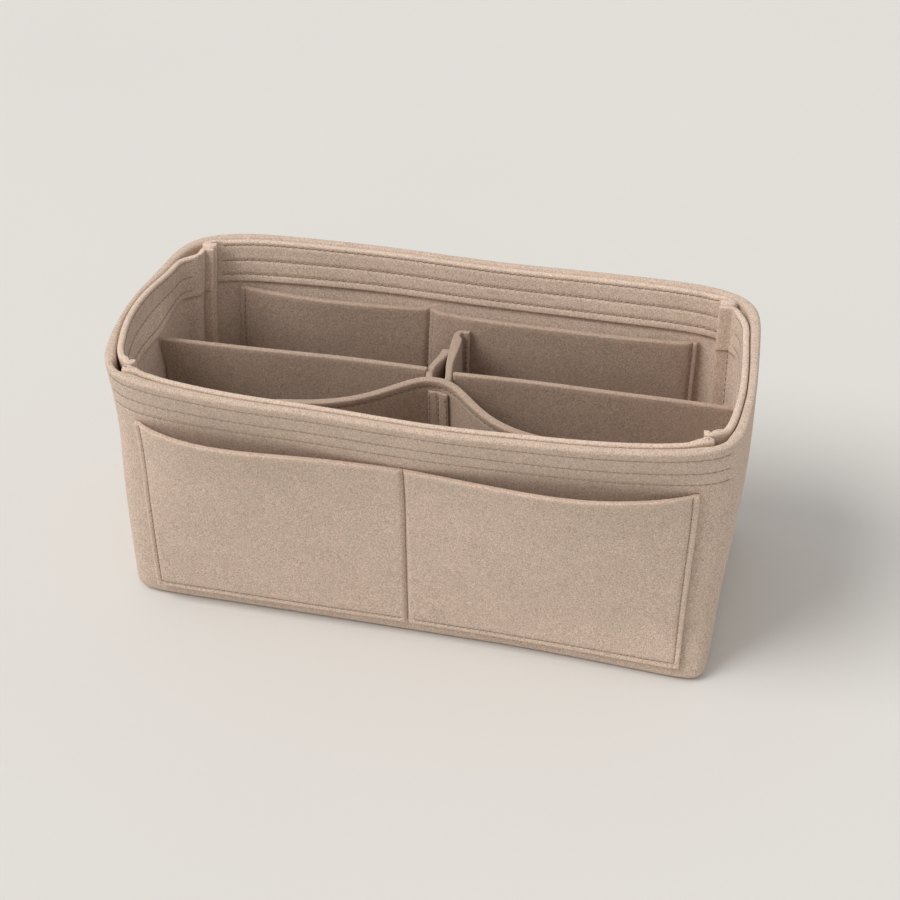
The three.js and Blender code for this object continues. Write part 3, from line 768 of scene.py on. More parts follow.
def felt(kind):
    """The felt of the shell, the lining or the panels: one felt, drawn lighter on the lining as painted light
    and darker on the panels as painted shade
    """
    name = f"felt_of_{kind}"
    if name in bpy.data.materials:
        return bpy.data.materials[name]
    material, tree, shader = new_material(name)
    place = tree.nodes.new("ShaderNodeTexCoord")
    edge = tree.nodes.new("ShaderNodeAttribute")
    edge.attribute_name = "cut_edge"
    fibres = tree.nodes.new("ShaderNodeGroup")
    fibres.node_tree = felt_fibres()
    bump = add_node(tree, "ShaderNodeBump", Strength=0.6, Distance=0.35 * MM)
    feed(tree, fibres.inputs["Felt"], (*getattr(colours(), kind), 1))
    feed(tree, fibres.inputs["Vector"], place.outputs["Object"])
    feed(tree, fibres.inputs["Cut Edge"], edge.outputs["Fac"])
    feed(tree, bump.inputs["Height"], fibres.outputs["Height"])
    feed(tree, shader.inputs["Base Color"], fibres.outputs["Colour"])
    feed(tree, shader.inputs["Roughness"], fibres.outputs["Roughness"])
    feed(tree, shader.inputs["Normal"], bump.outputs[0])
    for socket, value in FELT_SHADER.items():
        shader.inputs[socket].default_value = value
    return material


def speckled(kind):
    """A plain matt finish with a fine speckle, for the thread, a needle hole or the floor"""
    name, rough, amount, scale = SPECKLED[kind]
    if name in bpy.data.materials:
        return bpy.data.materials[name]
    material, tree, shader = new_material(name)
    place = tree.nodes.new("ShaderNodeTexCoord")
    speck = noise(tree, place.outputs["Object"], scale, 2)
    colour = getattr(colours(), kind)
    dark = tuple(part * (1 - amount) for part in colour)
    light = tuple(min(1, part * (1 + amount)) for part in colour)
    mixed = blend_colour(tree, "MIX", speck, (*dark, 1), (*light, 1))
    tree.links.new(mixed, shader.inputs["Base Color"])
    shader.inputs["Roughness"].default_value = rough
    shader.inputs["Specular IOR Level"].default_value = 0.2
    return material


def dress_felt(piece, kind, node, rests_on):
    """Gives a felt piece its finish and hides the node it stands for"""
    piece.data.materials.append(felt(kind))
    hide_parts(node)
    return piece


def sew(node, line, outward, strength=1):
    """A stitch row that stands for a thread's node, with its thread and the painted shadows of its needle
    holes
    """
    piece = stitch_row(f"{node.removesuffix('_thread')}_stitches", line, outward, strength)
    piece.data.materials.append(speckled("thread"))
    piece.data.materials.append(speckled("hole"))
    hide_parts(node)
    return piece


def path_length(points):
    """Length of a row of points"""
    return float(running(points)[-1])


# Outer shell


def shell_section():
    """Up the outside, over the rolled rim, down the hem and the inside, and under at the foot"""
    outside = [(0, z, 0) for z in levels(SHELL_FOOT, HEIGHT - SHELL_RIM, SHELL_ROWS)]
    rim = rolled_rim(SHELL_RIM, SHELL_HEM, (25, 50, 72, 90))
    hem = [(SHELL_HEM, z, 0) for z in reversed(levels(SHELL_HEM_FOOT, HEIGHT - SHELL_RIM))]
    step = [(SHELL_HEM - 0.4, SHELL_HEM_FOOT - 0.5, 1), (FELT, SHELL_HEM_FOOT - 0.8, 0.5)]
    inside = [(FELT, z, 0) for z in reversed(levels(5.4, SHELL_HEM_FOOT - 2))]
    foot = [(3.2, 3.9, 0), (4.4, FELT, 0), (SHELL_TURN, FELT, 0), (SHELL_TURN, 0.1, 0)]
    foot += [
        (SHELL_FOOT * (1 - math.sin(t)), SHELL_FOOT * (1 - math.cos(t)), 0)
        for t in np.radians((0, 18, 36, 54, 72))
    ]
    return np.array([*outside, *rim, *hem, *step, *inside, *foot])


def shell_at(angle, inset, z):
    """Points of the shell, with the pull of its stitch rows on the long sides"""
    quarter = np.degrees(np.arcsin(np.abs(np.sin(angle))))
    sewn = ease(*SHELL_ROW_FADE, quarter) * np.clip(1 - inset / SHELL_ROW_DEPTH, 0, 1)
    left, right = END_LININGS["left"], END_LININGS["right"]
    on_left = np.cos(angle) < 0
    middle = leaning(wall_point(angle, inset, z)[..., 1]) * (quarter < 45)
    from_corner = np.abs(quarter - math.degrees(CORNER_ANGLE))
    corner = (np.sin(angle) < 0) * (1 - ease(*THIN_CORNER, from_corner))
    thin = np.where(on_left, left.thin, right.thin) * middle
    thin = thin + np.where(on_left, left.corner_thin, right.corner_thin) * corner
    thin = thin * ease(*THIN_HEIGHTS, z)
    return wall_point(angle, inset * (1 - thin) + FAINT * sewn * row_dip(z, SHELL_ROWS), z)


class ORGANIZER_OT_shell(bpy.types.Operator):
    """Outer shell: one felt band with a turned hem and three rows of stitches front and back"""

    bl_idname = "organizer.shell"
    bl_label = "Outer shell"

    def execute(self, context):
        angles = ring_angles(420)
        away = np.full(len(angles), np.inf)
        shell = felt_piece("outer_shell", angles, away, shell_section(), shell_at, closed=True)
        girth = path_length(wall_point(np.append(angles, angles[0]), 0, HEIGHT / 2))
        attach(dress_felt(shell, "shell", "outer_shell", "base_panel"), "tub")
        half_round = np.abs(angles) - math.pi / 2
        long_side = angles[(angles > 0) & (np.abs(half_round) < math.pi / 2 - SHELL_ROW_ANGLE)]
        for side, turn in (("front", -long_side), ("back", long_side)):
            for row, z in enumerate(SHELL_ROWS, 1):
                outward = wall_point(turn, -1, z) - wall_point(turn, 0, z)
                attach(sew(f"shell_{side}_row_{row}", shell_at(turn, 0, z), outward, FAINT), "tub")
        return {"FINISHED"}


# Base and floor


class ORGANIZER_OT_base(bpy.types.Operator):
    """Base panel with its seam, and the lining floor over it"""

    bl_idname = "organizer.base"
    bl_label = "Base and floor"

    def execute(self, context):
        plates = (
            ("base_panel", BASE_INSET, 0, FELT, "shell", "lining_floor"),
            ("lining_floor", FLOOR_INSET, FLOOR_BOTTOM, FLOOR_TOP, "lining", "base_panel"),
        )
        for node, inset, bottom, top, kind, beside in plates:
            plate = self.plate(f"{node}_felt", inset, bottom, top)
            wall = wall_at(0)
            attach(dress_felt(plate, kind, node, beside), "tub")
        angles = np.append(ring_angles(300), -math.pi)
        line = wall_point(angles, SEAM_INSET, 0) + (0, 0, SEAM_HEIGHT)
        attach(sew("base_seam_thread", line, (0, 0, -1)), "tub")
        return {"FINISHED"}

    def plate(self, name, inset, bottom, top):
        """A flat felt plate with the plan of the wall's foot, from a capped and rounded ring"""
        angles = ring_angles(240)
        edge = wall_point(angles, inset, 0)
        plate = bmesh.new()
        ring = bmesh.ops.create_circle(plate, cap_ends=True, segments=len(edge), radius=1)
        for vert, place in zip(ring["verts"], edge):
            vert.co = Vector((place[0], place[1], bottom)) * MM
        raised = bmesh.ops.extrude_face_region(plate, geom=plate.faces[:])
        lifted = [item for item in raised["geom"] if isinstance(item, bmesh.types.BMVert)]
        bmesh.ops.translate(plate, verts=lifted, vec=(0, 0, (top - bottom) * MM))
        rims = [e for e in plate.edges if e.is_boundary or abs(e.calc_face_angle(0)) > 1]
        level = [e for e in rims if abs(e.verts[0].co.z - e.verts[1].co.z) < 0.1 * MM]
        bmesh.ops.bevel(
            plate, geom=level, offset=PLATE_BEVEL * MM, segments=2, profile=0.5, affect="EDGES", material=-1
        )
        bmesh.ops.recalc_face_normals(plate, faces=plate.faces)
        settled = sway(np.array([vert.co for vert in plate.verts]) / MM) * MM
        for vert, place in zip(plate.verts, settled):
            vert.co = place
        return finished(name, plate)


# Lining


def mirrored(points):
    """A plan path seen in a mirror across X"""
    return (points * (-1, 1))[::-1]


def long_lining(z, sign):
    """Plan of the front or back lining at a height, with the seam ears at its ends"""
    corner = wall_point(sign * CORNER_ANGLE, LINING_MIDDLE, z)
    xs = np.array([*(share * (corner[0] - LONG_TURN) for share in LONG_SHARES), corner[0] - LONG_TURN / 2])
    halves = {}
    for side, end in END_LININGS.items():
        push = corner_push(end, sign, z)
        step = EAR_STEPS[sign] - push
        root = [(2, -1.5 - push), (0.6, step - 2.2), (0.9, step - 0.8), (2.6, step)]
        ears = np.array([*root, (EAR_LENGTHS[sign], step)])
        wall = np.column_stack([xs, wall_y(xs, z, LINING_MIDDLE, sign)])
        wall[-1, 1] += sign * PUSH_WALL_SHARE * push
        halves[side] = np.vstack([wall, corner[:2] - ears * (1, sign)])
    middle = (0, wall_y(0, z, LINING_MIDDLE, sign))
    path = np.vstack([mirrored(halves["left"]), [middle], halves["right"]])
    return path if sign < 0 else path[::-1]


def corner_push(end, sign, z):
    """How far the seam at an end's front corner is pushed out at a height"""
    return end.push * ease(*PUSH_HEIGHTS, z) if sign < 0 else 0


def leaning(y):
    """Where along an end wall its lining leans out most, from 0 to 1"""
    return 1 - ease(*LEAN_REACH, np.abs(y - LEAN_MIDDLE))


def drawn_in(z):
    """How a divider draws in its end lining by height, from 0 to 1"""
    return ease(*DRAW_HEIGHTS, z) * (1 - ease(*DRAW_FADE, z))


def end_lining_x(y, z, end):
    """Half length to the middle of an end lining's felt"""
    inset = LINING_MIDDLE - end.lean * ease(LEAN_FOOT, HEIGHT, z) * leaning(y)
    drawn = end.drawn * drawn_in(z) * np.exp(-(((y - DIVIDERS["left"].outer_y) / DRAW_WIDTH) ** 2))
    return wall_x(y, z, inset) - drawn


def end_lining(z, end):
    """Plan of an end lining at a height, front to back, as it is on the right"""
    halves = []
    for sign in (-1, 1):
        corner = wall_point(sign * CORNER_ANGLE, LINING_MIDDLE, z)
        depth = abs(corner[1])
        straight = [(share * (depth - END_TURN), 1) for share in END_SHARES]
        push = corner_push(end, sign, z)
        bend = [(depth - inward + push, share) for inward, share in end.bends[sign]]
        ys, shares = np.array([*straight, *bend]).T
        xs = corner[0] + (end_lining_x(sign * ys, z, end) - corner[0]) * shares
        step = EAR_STEPS[sign] + LINING + GAP - push
        ears = np.array([(1.6, step + 0.15), (EAR_LENGTHS[sign], step)])
        halves.append(np.vstack([np.column_stack([xs, sign * ys]), corner[:2] - ears * (1, sign)]))
    return np.vstack([halves[0][::-1], [(end_lining_x(0, z, end), 0)], halves[1]])


LININGS = {
    "front": (lambda z: long_lining(z, -1), LONG_EAR_POINTS),
    "back": (lambda z: long_lining(z, 1), LONG_EAR_POINTS),
    "right": (lambda z: end_lining(z, END_LININGS["right"]), END_EAR_POINTS),
    "left": (lambda z: mirrored(end_lining(z, END_LININGS["left"])), END_EAR_POINTS),
}


def ribbon(path_at):
    """Places points on a panel that follows a plan path; depth is to the left of the path"""

    def at(columns, depth, z):
        path = path_at(z)
        run = running(path)
        s = np.interp(columns, np.arange(len(path)), run)
        line = np.column_stack([curve(run, path[:, k])(s) for k in (0, 1)])
        along = np.gradient(line, s, axis=0)
        along /= np.linalg.norm(along, axis=1)[:, None]
        left = np.column_stack([-along[:, 1], along[:, 0]])
        place = line + left * np.broadcast_to(depth, len(columns))[:, None]
        return np.column_stack([place, np.full(len(columns), float(z))])

    return at


def ribbon_columns(path_at, z, step=FACE_STEP):
    """Column numbers along a path, evenly spaced, and each one's distance from the nearest end"""
    path = path_at(z)
    run = running(path)
    places = spaced(run[-1], step)
    return np.interp(places, run, np.arange(len(path))), np.minimum(places, run[-1] - places)


def lining_at(side):
    """Places points on a lining; its hem thins at the puffed ears and its stitch rows draw it in"""
    path_at, ear_points = LININGS[side]
    end = END_LININGS.get(side)
    pull = FAINT if end else 1
    follow = ribbon(path_at)
    last = len(path_at(HEIGHT)) - 1
    stops = [0, ear_points - 1, ear_points, last - ear_points, last - ear_points + 1, last]

    def at(columns, depth, z):
        ear = np.interp(columns, stops, [1, 1, 0, 0, 1, 1])
        extra = np.maximum(depth - LINING, 0)
        drawn = pull * row_dip(z, LINING_ROWS) * (extra > 0.4 * LINING)
        puff = EAR_PUFF * ear
        rise = EAR_RISE * ear
        if end:
            run = running(path_at(z))
            place = np.interp(columns, np.arange(last + 1), run)
            root = np.minimum(np.abs(place - run[1]), np.abs(place - run[-2]))
            puff = puff - CREASE * np.exp(-((root / CREASE_WIDTH) ** 2))
            rise = rise + end.stand * (1 - ear)
        offset = np.minimum(depth, LINING) + puff * np.clip(depth / LINING, 0, 1)
        offset = offset + (extra - drawn) * (1 + (EAR_HEM - 1) * ear)
        place = follow(columns, offset - LINING / 2, z)
        place[:, 2] += rise * ease(EAR_RISE_FOOT, HEIGHT, z)
        return place

    return at


def lining_section():
    """Up the hidden outer face, over the rolled top, down the hem, in at its raw foot and down"""
    low = HEIGHT - LINING_RIM
    outside = [(0, z, 0) for z in np.linspace(PANEL_BOTTOM, low, 14)]
    rim = rolled_rim(LINING_RIM, LINING_HEM, (30, 60, 90))
    hem = [(LINING_HEM, z, 0) for z in reversed(levels(LINING_HEM_FOOT + 0.5, low, LINING_ROWS))]
    step = [(LINING_HEM - 0.25, LINING_HEM_FOOT, 1), (LINING + 0.3, LINING_HEM_FOOT - 0.1, 1)]
    inside = [(LINING, z, 0) for z in reversed(levels(PANEL_BOTTOM, LINING_HEM_FOOT - 0.2))]
    return np.array([*outside, *rim, *hem, *step, *inside])


class ORGANIZER_OT_linings(bpy.types.Operator):
    """Four lining panels with stitched hems, sewn to each other at the corners"""

    bl_idname = "organizer.linings"
    bl_label = "Linings"

    def execute(self, context):
        for side, (path_at, ear) in LININGS.items():
            strength = FAINT if side in END_LININGS else 1
            at = lining_at(side)
            node = f"lining_{side}"
            columns, reach = ribbon_columns(path_at, HEIGHT, LINING_STEP)
            lining = felt_piece(node, columns, reach, lining_section(), at, edge=EAR_ROUND)
            cut = (path_length(path_at(HEIGHT / 2)), HEIGHT - PANEL_BOTTOM + HEIGHT - LINING_HEM_FOOT)
            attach(dress_felt(lining, "lining", node, "outer_shell"), "tub")
            last = len(path_at(HEIGHT)) - 1
            on_wall = np.linspace(ear - 0.4, last - ear + 0.4, 300)
            for row, z in enumerate(LINING_ROWS, 1):
                line = at(on_wall, LINING_HEM, z)
                outward = at(on_wall, LINING_HEM + 1, z) - line
                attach(sew(f"{node}_row_{row}", line, outward, strength), "tub")
        for side in END_LININGS:
            self.corner_seams(side)
        return {"FINISHED"}

    def corner_seams(self, side):
        """An upright stitch row on the inner face of each ear of an end lining"""
        at = lining_at(side)
        last = len(LININGS[side][0](0)) - 1
        columns = np.linspace(0, last, 4 * last + 1)
        ends = {"front": 1, "back": last - 1} if side == "right" else {"front": last - 1, "back": 1}
        for end, column in ends.items():
            i = int(np.argmin(np.abs(columns - column)))
            line = [at(columns, LINING, z)[i] for z in levels(PANEL_BOTTOM + 2, EAR_SEAM_TOP)]
            outward = (0, 1 if end == "front" else -1, 0)
            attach(sew(f"corner_seam_{end}_{side}", line, outward, 0), "tub")


# Pockets


def held_sides(share, margin, skew=1):
    """0 at a pocket's sewn sides and 1 between them, by the share of the way across"""
    return np.abs(np.sin(math.pi * np.clip((share - margin) / (1 - 2 * margin), 0, 1) ** skew))


def gape(share, rise, half):
    """How far a pocket stands open: nothing at its sewn sides and foot, most at its mouth"""
    across = held_sides(share, GAPE_MARGIN, half.skew)
    return half.most * across**half.swell * np.clip(rise, 0, 1) ** GAPE_POWER


def pocket_at(pocket, half):
    """Places points on a pocket half that is sewn to a long wall, its outer face towards the front"""
    inner = pocket.seam + half.sign * SEAM_GROOVE

    def at(share, depth, height):
        rise = (height - pocket.foot) / (pocket.top - pocket.foot)
        outer = half.outer - half.sign * half.taper * (1 - rise)
        x = inner + (outer - inner) * share
        z = height + (half.lift * share + half.arch * np.sin(math.pi * share)) * rise
        side_row = dip(np.abs(outer - x) - BORDER)
        foot_pull = dip(height - pocket.foot - BORDER) if pocket.foot_row else 0
        seam_pull = SEAM_PULL * np.exp(-((x - pocket.seam) ** 2))
        drawn = np.maximum(np.maximum(side_row, foot_pull), seam_pull) * np.clip(depth / FELT, 0, 1)
        y = wall_y(x, z, pocket.inset, pocket.wall) - GAP - gape(share, rise, half) - depth + drawn
        return np.stack(np.broadcast_arrays(x, y, z), axis=-1)

    return at


def swing(piece, body, pocket, half):
    """Lets a pocket's mouth open with its hinge while its sewn sides and foot stay put"""
    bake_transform(piece, "tub", body, start=(0, 0, pocket.foot * MM), end=(0, 0, pocket.top * MM))
    count = len(piece.data.vertices)
    places = np.empty(count * 3, np.float32)
    piece.data.vertices.foreach_get("co", places)
    inner = pocket.seam + half.sign * SEAM_GROOVE
    share = (places[::3] / MM - inner) / (half.outer - inner)
    weight = np.empty(count, np.float32)
    follow = piece.data.attributes["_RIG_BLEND"].data
    follow.foreach_get("value", weight)
    free = held_sides(share, SWING_MARGIN) ** SWING_POWER
    follow.foreach_set("value", (weight * free).astype(np.float32))


def pocket_border(pocket, half, at):
    """Border stitches of a pocket half: down its outer side and, on the front, along its foot"""
    border = BORDER / abs(half.outer - pocket.seam)
    down = np.array(levels(pocket.foot + BORDER, pocket.top - 1))[::-1]
    line = at(np.full(len(down), 1 - border), FELT, down)
    outward = at(np.full(len(down), 1 - border), FELT + 1, down) - line
    if pocket.foot_row:
        across = np.linspace(1 - 1.5 * border, border, 80)
        line = np.vstack([line, at(across, FELT, np.full(len(across), pocket.foot + BORDER))])
        outward = np.vstack([outward, np.tile(FORWARD, (len(across), 1))])
    return line, outward


def sew_pocket(place):
    """Both halves of a pocket with their borders, and the upright seam between them"""
    pocket = POCKETS[place]
    section = panel_section(0, FELT, pocket.foot, pocket.top, (pocket.foot + BORDER,))
    for side, half in pocket.halves.items():
        at = pocket_at(pocket, half)
        node = f"{place}_pocket_{side}"
        width = abs(half.outer - pocket.seam) - SEAM_GROOVE
        places = spaced(width)
        panel = felt_piece(node, places / width, width - places, section, at)
        dress_felt(panel, pocket.felt, node, pocket.carrier)
        border = sew(f"{place}_pocket_border_{side}", *pocket_border(pocket, half, at))
        for piece in (panel, border):
            if side in pocket.moving:
                swing(piece, f"{place}_{side}_pocket", pocket, half)
            else:
                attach(piece, "tub")
    heights = np.array(levels(pocket.foot + BORDER if pocket.foot_row else pocket.foot, pocket.top))
    y = wall_y(pocket.seam, heights, pocket.inset, pocket.wall) - GAP - FELT + SEAM_PULL
    line = np.column_stack([np.full(len(heights), pocket.seam), y, heights])
    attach(sew(f"{place}_pocket_seam", line, FORWARD), "tub")


class ORGANIZER_OT_front_pockets(bpy.types.Operator):
    """Outside pocket on the front, in two halves whose mouths open"""

    bl_idname = "organizer.front_pockets"
    bl_label = "Front pockets"

    def execute(self, context):
        sew_pocket("front")
        return {"FINISHED"}


class ORGANIZER_OT_back_pockets(bpy.types.Operator):
    """Inside pocket on the back lining, in two halves; the left mouth opens"""

    bl_idname = "organizer.back_pockets"
    bl_label = "Back pockets"

    def execute(self, context):
        sew_pocket("back")
        return {"FINISHED"}


# Dividers


def divider_at(half, drawn):
    """Places points on a divider whose end lining it draws in, and gives its width at the top"""
    foot, top = (
        half.sign * (wall_x(half.outer_y, z, LINING_FACE) - 2 * GAP) for z in (PANEL_BOTTOM, DIVIDER_TOP)
    )

    def at(share, depth, z):
        rise = (z - PANEL_BOTTOM) / (DIVIDER_TOP - PANEL_BOTTOM)
        outer = foot + (top - foot) * rise - half.sign * drawn * ease(*DRAW_HEIGHTS, z)
        x = outer + (half.inner - outer) * share
        y = half.outer_y + (half.inner_y - half.outer_y) * share
        y = y + DIVIDER_BOW * np.sin(math.pi * share) * rise + depth
        return np.stack(np.broadcast_arrays(x, y, z), axis=-1)

    return at, abs(top - half.inner)


class ORGANIZER_OT_dividers(bpy.types.Operator):
    """Two lengthwise dividers, from the end linings to the partitions"""

    bl_idname = "organizer.dividers"
    bl_label = "Dividers"

    def execute(self, context):
        section = panel_section(-FELT / 2, FELT / 2, PANEL_BOTTOM, DIVIDER_TOP)
        for side, half in DIVIDERS.items():
            at, width = divider_at(half, END_LININGS[side].drawn)
            places = spaced(width)
            reach = np.minimum(places, width - places)
            node = f"{side}_divider"
            divider = felt_piece(node, places / width, reach, section, at)
            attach(dress_felt(divider, "panel", node, f"lining_{side}"), "tub")
        return {"FINISHED"}


# Bowed front panel and its strap


def bow_share(x, side):
    """How far one side of the bow is drawn back, from 0 at its end to 1 in the middle"""

    def rise(away):
        tail = (1 - side.core) * (1 - ease(BOW_TAIL_START, BOW_HALF, away))
        return side.core / (1 + (away / side.width) ** side.power) + tail

    end = rise(BOW_HALF)
    return (rise(np.abs(x)) - end) / (rise(0) - end)


def bow_y(x, z):
    """Y of the middle of the bowed panel"""
    wall = wall_y(x, z, BOW_INSET + FELT / 2, -1)
    share = np.where(x < 0, bow_share(x, BOW_SIDES["left"]), bow_share(x, BOW_SIDES["right"]))
    return wall + (BOW_APEX_Y - wall) * share


def bow_at(x, depth, z):
    """Places points on the bowed panel; depth is towards the back"""
    slope = (bow_y(x + 0.1, z) - bow_y(x - 0.1, z)) / 0.2
    length = np.sqrt(1 + slope**2)
    place = (x - slope / length * depth, bow_y(x, z) + depth / length, z)
    return np.stack(np.broadcast_arrays(*place), axis=-1)


def bow_panel_at(x, depth, z):
    """The bowed panel with the pull of its hem row on the front face"""
    drawn = row_dip(z, (BOW_ROW,)) * np.clip(-depth / (FELT / 2), 0, 1)
    full = 1 + BOW_HEM * ease(BOW_ROW - 1, BOW_ROW + 2, z)
    return bow_at(x, depth * full + drawn, z)


def strap_at(x, depth, z):
    """The strap with the pull of its three upright seams on the front face"""
    front_share = np.clip((STRAP_BACK - depth) / STRAP, 0, 1)
    drawn = sum(dip(x - seam) for seam in STRAP_SEAMS.values()) * front_share
    return bow_at(x, depth + drawn, z)


class ORGANIZER_OT_bowed_panel(bpy.types.Operator):
    """Bowed front panel, which makes a centre pocket, and the strap on its front"""

    bl_idname = "organizer.bowed_panel"
    bl_label = "Bowed panel and strap"

    def execute(self, context):
        places = spaced(2 * BOW_HALF, BOW_STEP)
        reach = np.minimum(places, 2 * BOW_HALF - places)
        section = panel_section(-FELT / 2, FELT / 2, PANEL_BOTTOM, BOW_TOP, (BOW_ROW,)) * (-1, 1, 1)
        bowed = felt_piece("bowed_front_panel", places - BOW_HALF, reach, section, bow_panel_at)
        across = np.linspace(-BOW_HALF, BOW_HALF, 200)
        cut = (path_length(bow_at(across, 0, HEIGHT / 2)), BOW_TOP - PANEL_BOTTOM)
        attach(dress_felt(bowed, "panel", "bowed_front_panel", "lining_front"), "tub")
        sewn = across[2:-2]
        line = bow_panel_at(sewn, -FELT / 2, BOW_ROW)
        outward = bow_at(sewn, -FELT / 2 - 1, BOW_ROW) - bow_at(sewn, -FELT / 2, BOW_ROW)
        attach(sew("bowed_panel_hem_row", line, outward), "tub")
        self.strap()
        return {"FINISHED"}

    def strap(self):
        """The two-band strap with three upright seams"""
        width = STRAP_RIGHT - STRAP_LEFT
        places = np.linspace(0, width, STRAP_COLUMNS)
        reach = np.minimum(places, width - places)
        section = panel_section(STRAP_BACK - STRAP, STRAP_BACK, PANEL_BOTTOM, STRAP_TOP)
        strap = felt_piece("centre_strap", places + STRAP_LEFT, reach, section, strap_at)
        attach(dress_felt(strap, "panel", "centre_strap", "bowed_front_panel"), "tub")
        heights = np.array(levels(PANEL_BOTTOM + 1, STRAP_TOP - 1))
        for place, x in STRAP_SEAMS.items():
            line = strap_at(np.full(len(heights), x), STRAP_BACK - STRAP, heights)
            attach(sew(f"centre_strap_seam_{place}", line, FORWARD), "tub")


# Partitions


def flap_height(z, y):
    """Height on a partition flap, whose top edge falls towards the back"""
    back = np.maximum(0, y - PARTITION_FRONT_Y)
    fall = PARTITION_FALL * back + PARTITION_FALL_GROWTH * back**2
    return z - fall * (z - PANEL_BOTTOM) / (PARTITION_TOP - PANEL_BOTTOM)


def tab_y(x, z):
    """Y of the partition tab's middle, just in front of the back right pocket"""
    pocket = POCKETS["back"]
    half = pocket.halves["right"]
    share = (x - pocket.seam) / (half.outer - pocket.seam)
    return float(pocket_at(pocket, half)(share, FELT, flap_height(z, TAB_Y))[1]) - GAP - PARTITION / 2


def right_partition(z):
    """Plan of the right partition: a tab on the back pocket, then forward to the bowed panel"""
    y = min(tab_y(1, z), tab_y(TAB_X, z))
    tab = [(TAB_X, y), (TAB_ROW_X, y), (1.5, y - 0.1), (0.2, y - 0.8), (-0.4, y - 2.4), (-0.4, y - 6)]
    return np.array([*tab, *RIGHT_FLAP])


def left_partition(z):
    """Plan of the left partition, which ends beside the right one; it is the same at every height"""
    return np.array(LEFT_FLAP)


def flap_at(path_at):
    """Places points on a partition flap"""
    follow = ribbon(path_at)

    def at(columns, depth, z):
        y = np.interp(columns, np.arange(len(path_at(z))), path_at(z)[:, 1])
        puff = FLAP_PUFF * ease(*PUFF_START, y) * (1 - ease(*PUFF_END, y))
        place = follow(columns, depth + puff * (depth > 0), z)
        place[:, 2] = flap_height(place[:, 2], place[:, 1])
        return place

    return at


class ORGANIZER_OT_partitions(bpy.types.Operator):
    """Two partition flaps between the dividers, the right one tied to the back pocket by a tab"""

    bl_idname = "organizer.partitions"
    bl_label = "Partitions"

    def execute(self, context):
        section = panel_section(-PARTITION / 2, PARTITION / 2, PANEL_BOTTOM, PARTITION_TOP)
        flaps = (
            ("right", right_partition, "back_pocket_right"),
            ("left", left_partition, "bowed_front_panel"),
        )
        for side, path_at, beside in flaps:
            node = f"{side}_partition"
            columns, reach = ribbon_columns(path_at, PARTITION_TOP, FLAP_STEP)
            flap = felt_piece(node, columns, reach, section, flap_at(path_at))
            cut = (path_length(path_at(HEIGHT / 2)), PARTITION_TOP - PANEL_BOTTOM)
            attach(dress_felt(flap, "panel", node, beside), "tub")
        rows = [(right_partition(z)[1][1], z) for z in levels(PANEL_BOTTOM + 2, PARTITION_TOP - 2)]
        line = [(TAB_ROW_X, y - PARTITION / 2, flap_height(z, y)) for y, z in rows]
        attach(sew("partition_tab_seam", line, FORWARD), "tub")
        return {"FINISHED"}


# Stage


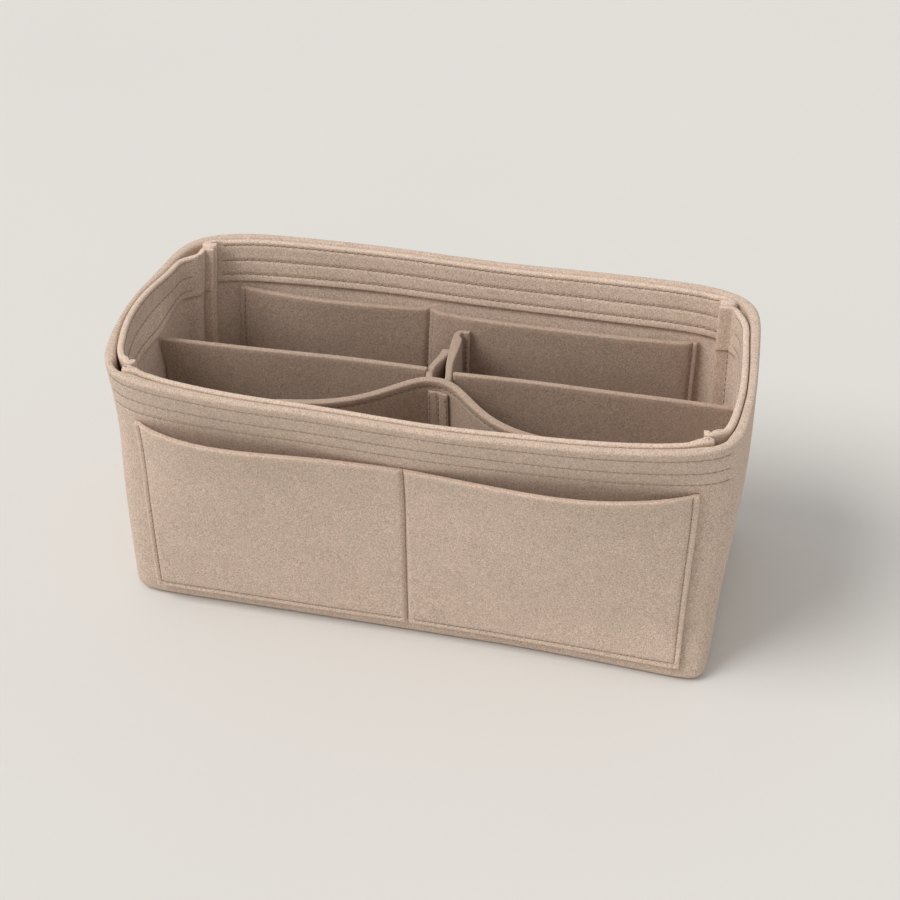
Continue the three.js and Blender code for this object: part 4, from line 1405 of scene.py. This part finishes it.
class ORGANIZER_OT_stage(bpy.types.Operator):
    """Pale floor, soft studio light and the camera"""

    bl_idname = "organizer.stage"
    bl_label = "Stage"

    def execute(self, context):
        ground = bmesh.new()
        bmesh.ops.create_grid(ground, x_segments=8, y_segments=8, size=FLOOR_HALF)
        floor = finished("studio_floor", ground)
        floor.data.materials.append(speckled("floor"))
        world = bpy.data.worlds.new("studio_world")
        world.use_nodes = True
        sky = world.node_tree.nodes["Background"]
        sky.inputs["Color"].default_value = SKY_COLOUR
        sky.inputs["Strength"].default_value = SKY_STRENGTH
        context.scene.world = world
        self.key_light(context)
        self.camera(context)
        context.scene.view_settings.view_transform = "Standard"
        return {"FINISHED"}

    def key_light(self, context):
        """A broad soft light from far off"""
        data = bpy.data.lights.new("key_light", "SUN")
        data.angle = KEY_SPREAD
        data.energy = KEY_STRENGTH
        data.color = KEY_COLOUR
        lamp = bpy.data.objects.new("key_light", data)
        lamp.location = KEY_FROM
        lamp.rotation_euler = (-Vector(KEY_FROM)).to_track_quat("-Z", "Y").to_euler()
        context.scene.collection.objects.link(lamp)

    def camera(self, context):
        """The photograph's viewpoint, for a square picture"""
        data = bpy.data.cameras.new("photo_camera")
        data.lens = CAMERA_LENS
        data.sensor_width = CAMERA_SENSOR
        data.sensor_fit = "HORIZONTAL"
        level = math.cos(CAMERA_PITCH)
        fall = -math.sin(CAMERA_PITCH)
        ahead = Vector((math.sin(CAMERA_YAW) * level, math.cos(CAMERA_YAW) * level, fall))
        right = Vector((math.cos(CAMERA_YAW), -math.sin(CAMERA_YAW), 0))
        down = ahead.cross(right)
        across = right * math.cos(CAMERA_ROLL) + down * math.sin(CAMERA_ROLL)
        plumb = down * math.cos(CAMERA_ROLL) - right * math.sin(CAMERA_ROLL)
        camera = bpy.data.objects.new("photo_camera", data)
        turn = Matrix((across, -plumb, -ahead)).transposed().to_4x4()
        camera.matrix_world = Matrix.Translation(Vector(CAMERA_PLACE) * MM) @ turn
        context.scene.collection.objects.link(camera)
        context.scene.camera = camera


OPERATORS = (
    ORGANIZER_OT_stage,
    ORGANIZER_OT_shell,
    ORGANIZER_OT_base,
    ORGANIZER_OT_linings,
    ORGANIZER_OT_front_pockets,
    ORGANIZER_OT_back_pockets,
    ORGANIZER_OT_dividers,
    ORGANIZER_OT_bowed_panel,
    ORGANIZER_OT_partitions,
)


class ORGANIZER_PT_panel(bpy.types.Panel):
    """Sidebar panel with the settings and the operators"""

    bl_idname = "ORGANIZER_PT_panel"
    bl_label = "Felt organizer"
    bl_space_type = "VIEW_3D"
    bl_region_type = "UI"
    bl_category = "Organizer"

    def draw(self, context):
        layout = self.layout
        for group in (context.scene.organizer_sizes, context.scene.organizer_colours):
            for key in type(group).__annotations__:
                layout.prop(group, key)
        for operator in OPERATORS:
            layout.operator(operator.bl_idname)


CLASSES = (OrganizerSizes, OrganizerColours, *OPERATORS, ORGANIZER_PT_panel)


def register():
    for kind in CLASSES:
        bpy.utils.register_class(kind)
    bpy.types.Scene.organizer_sizes = bpy.props.PointerProperty(type=OrganizerSizes)
    bpy.types.Scene.organizer_colours = bpy.props.PointerProperty(type=OrganizerColours)


def unregister():
    del bpy.types.Scene.organizer_colours
    del bpy.types.Scene.organizer_sizes
    for kind in reversed(CLASSES):
        bpy.utils.unregister_class(kind)


def main():
    register()
    for operator in OPERATORS:
        group, name = operator.bl_idname.split(".")
        getattr(getattr(bpy.ops, group), name)()


if __name__ == "__main__":
    main()
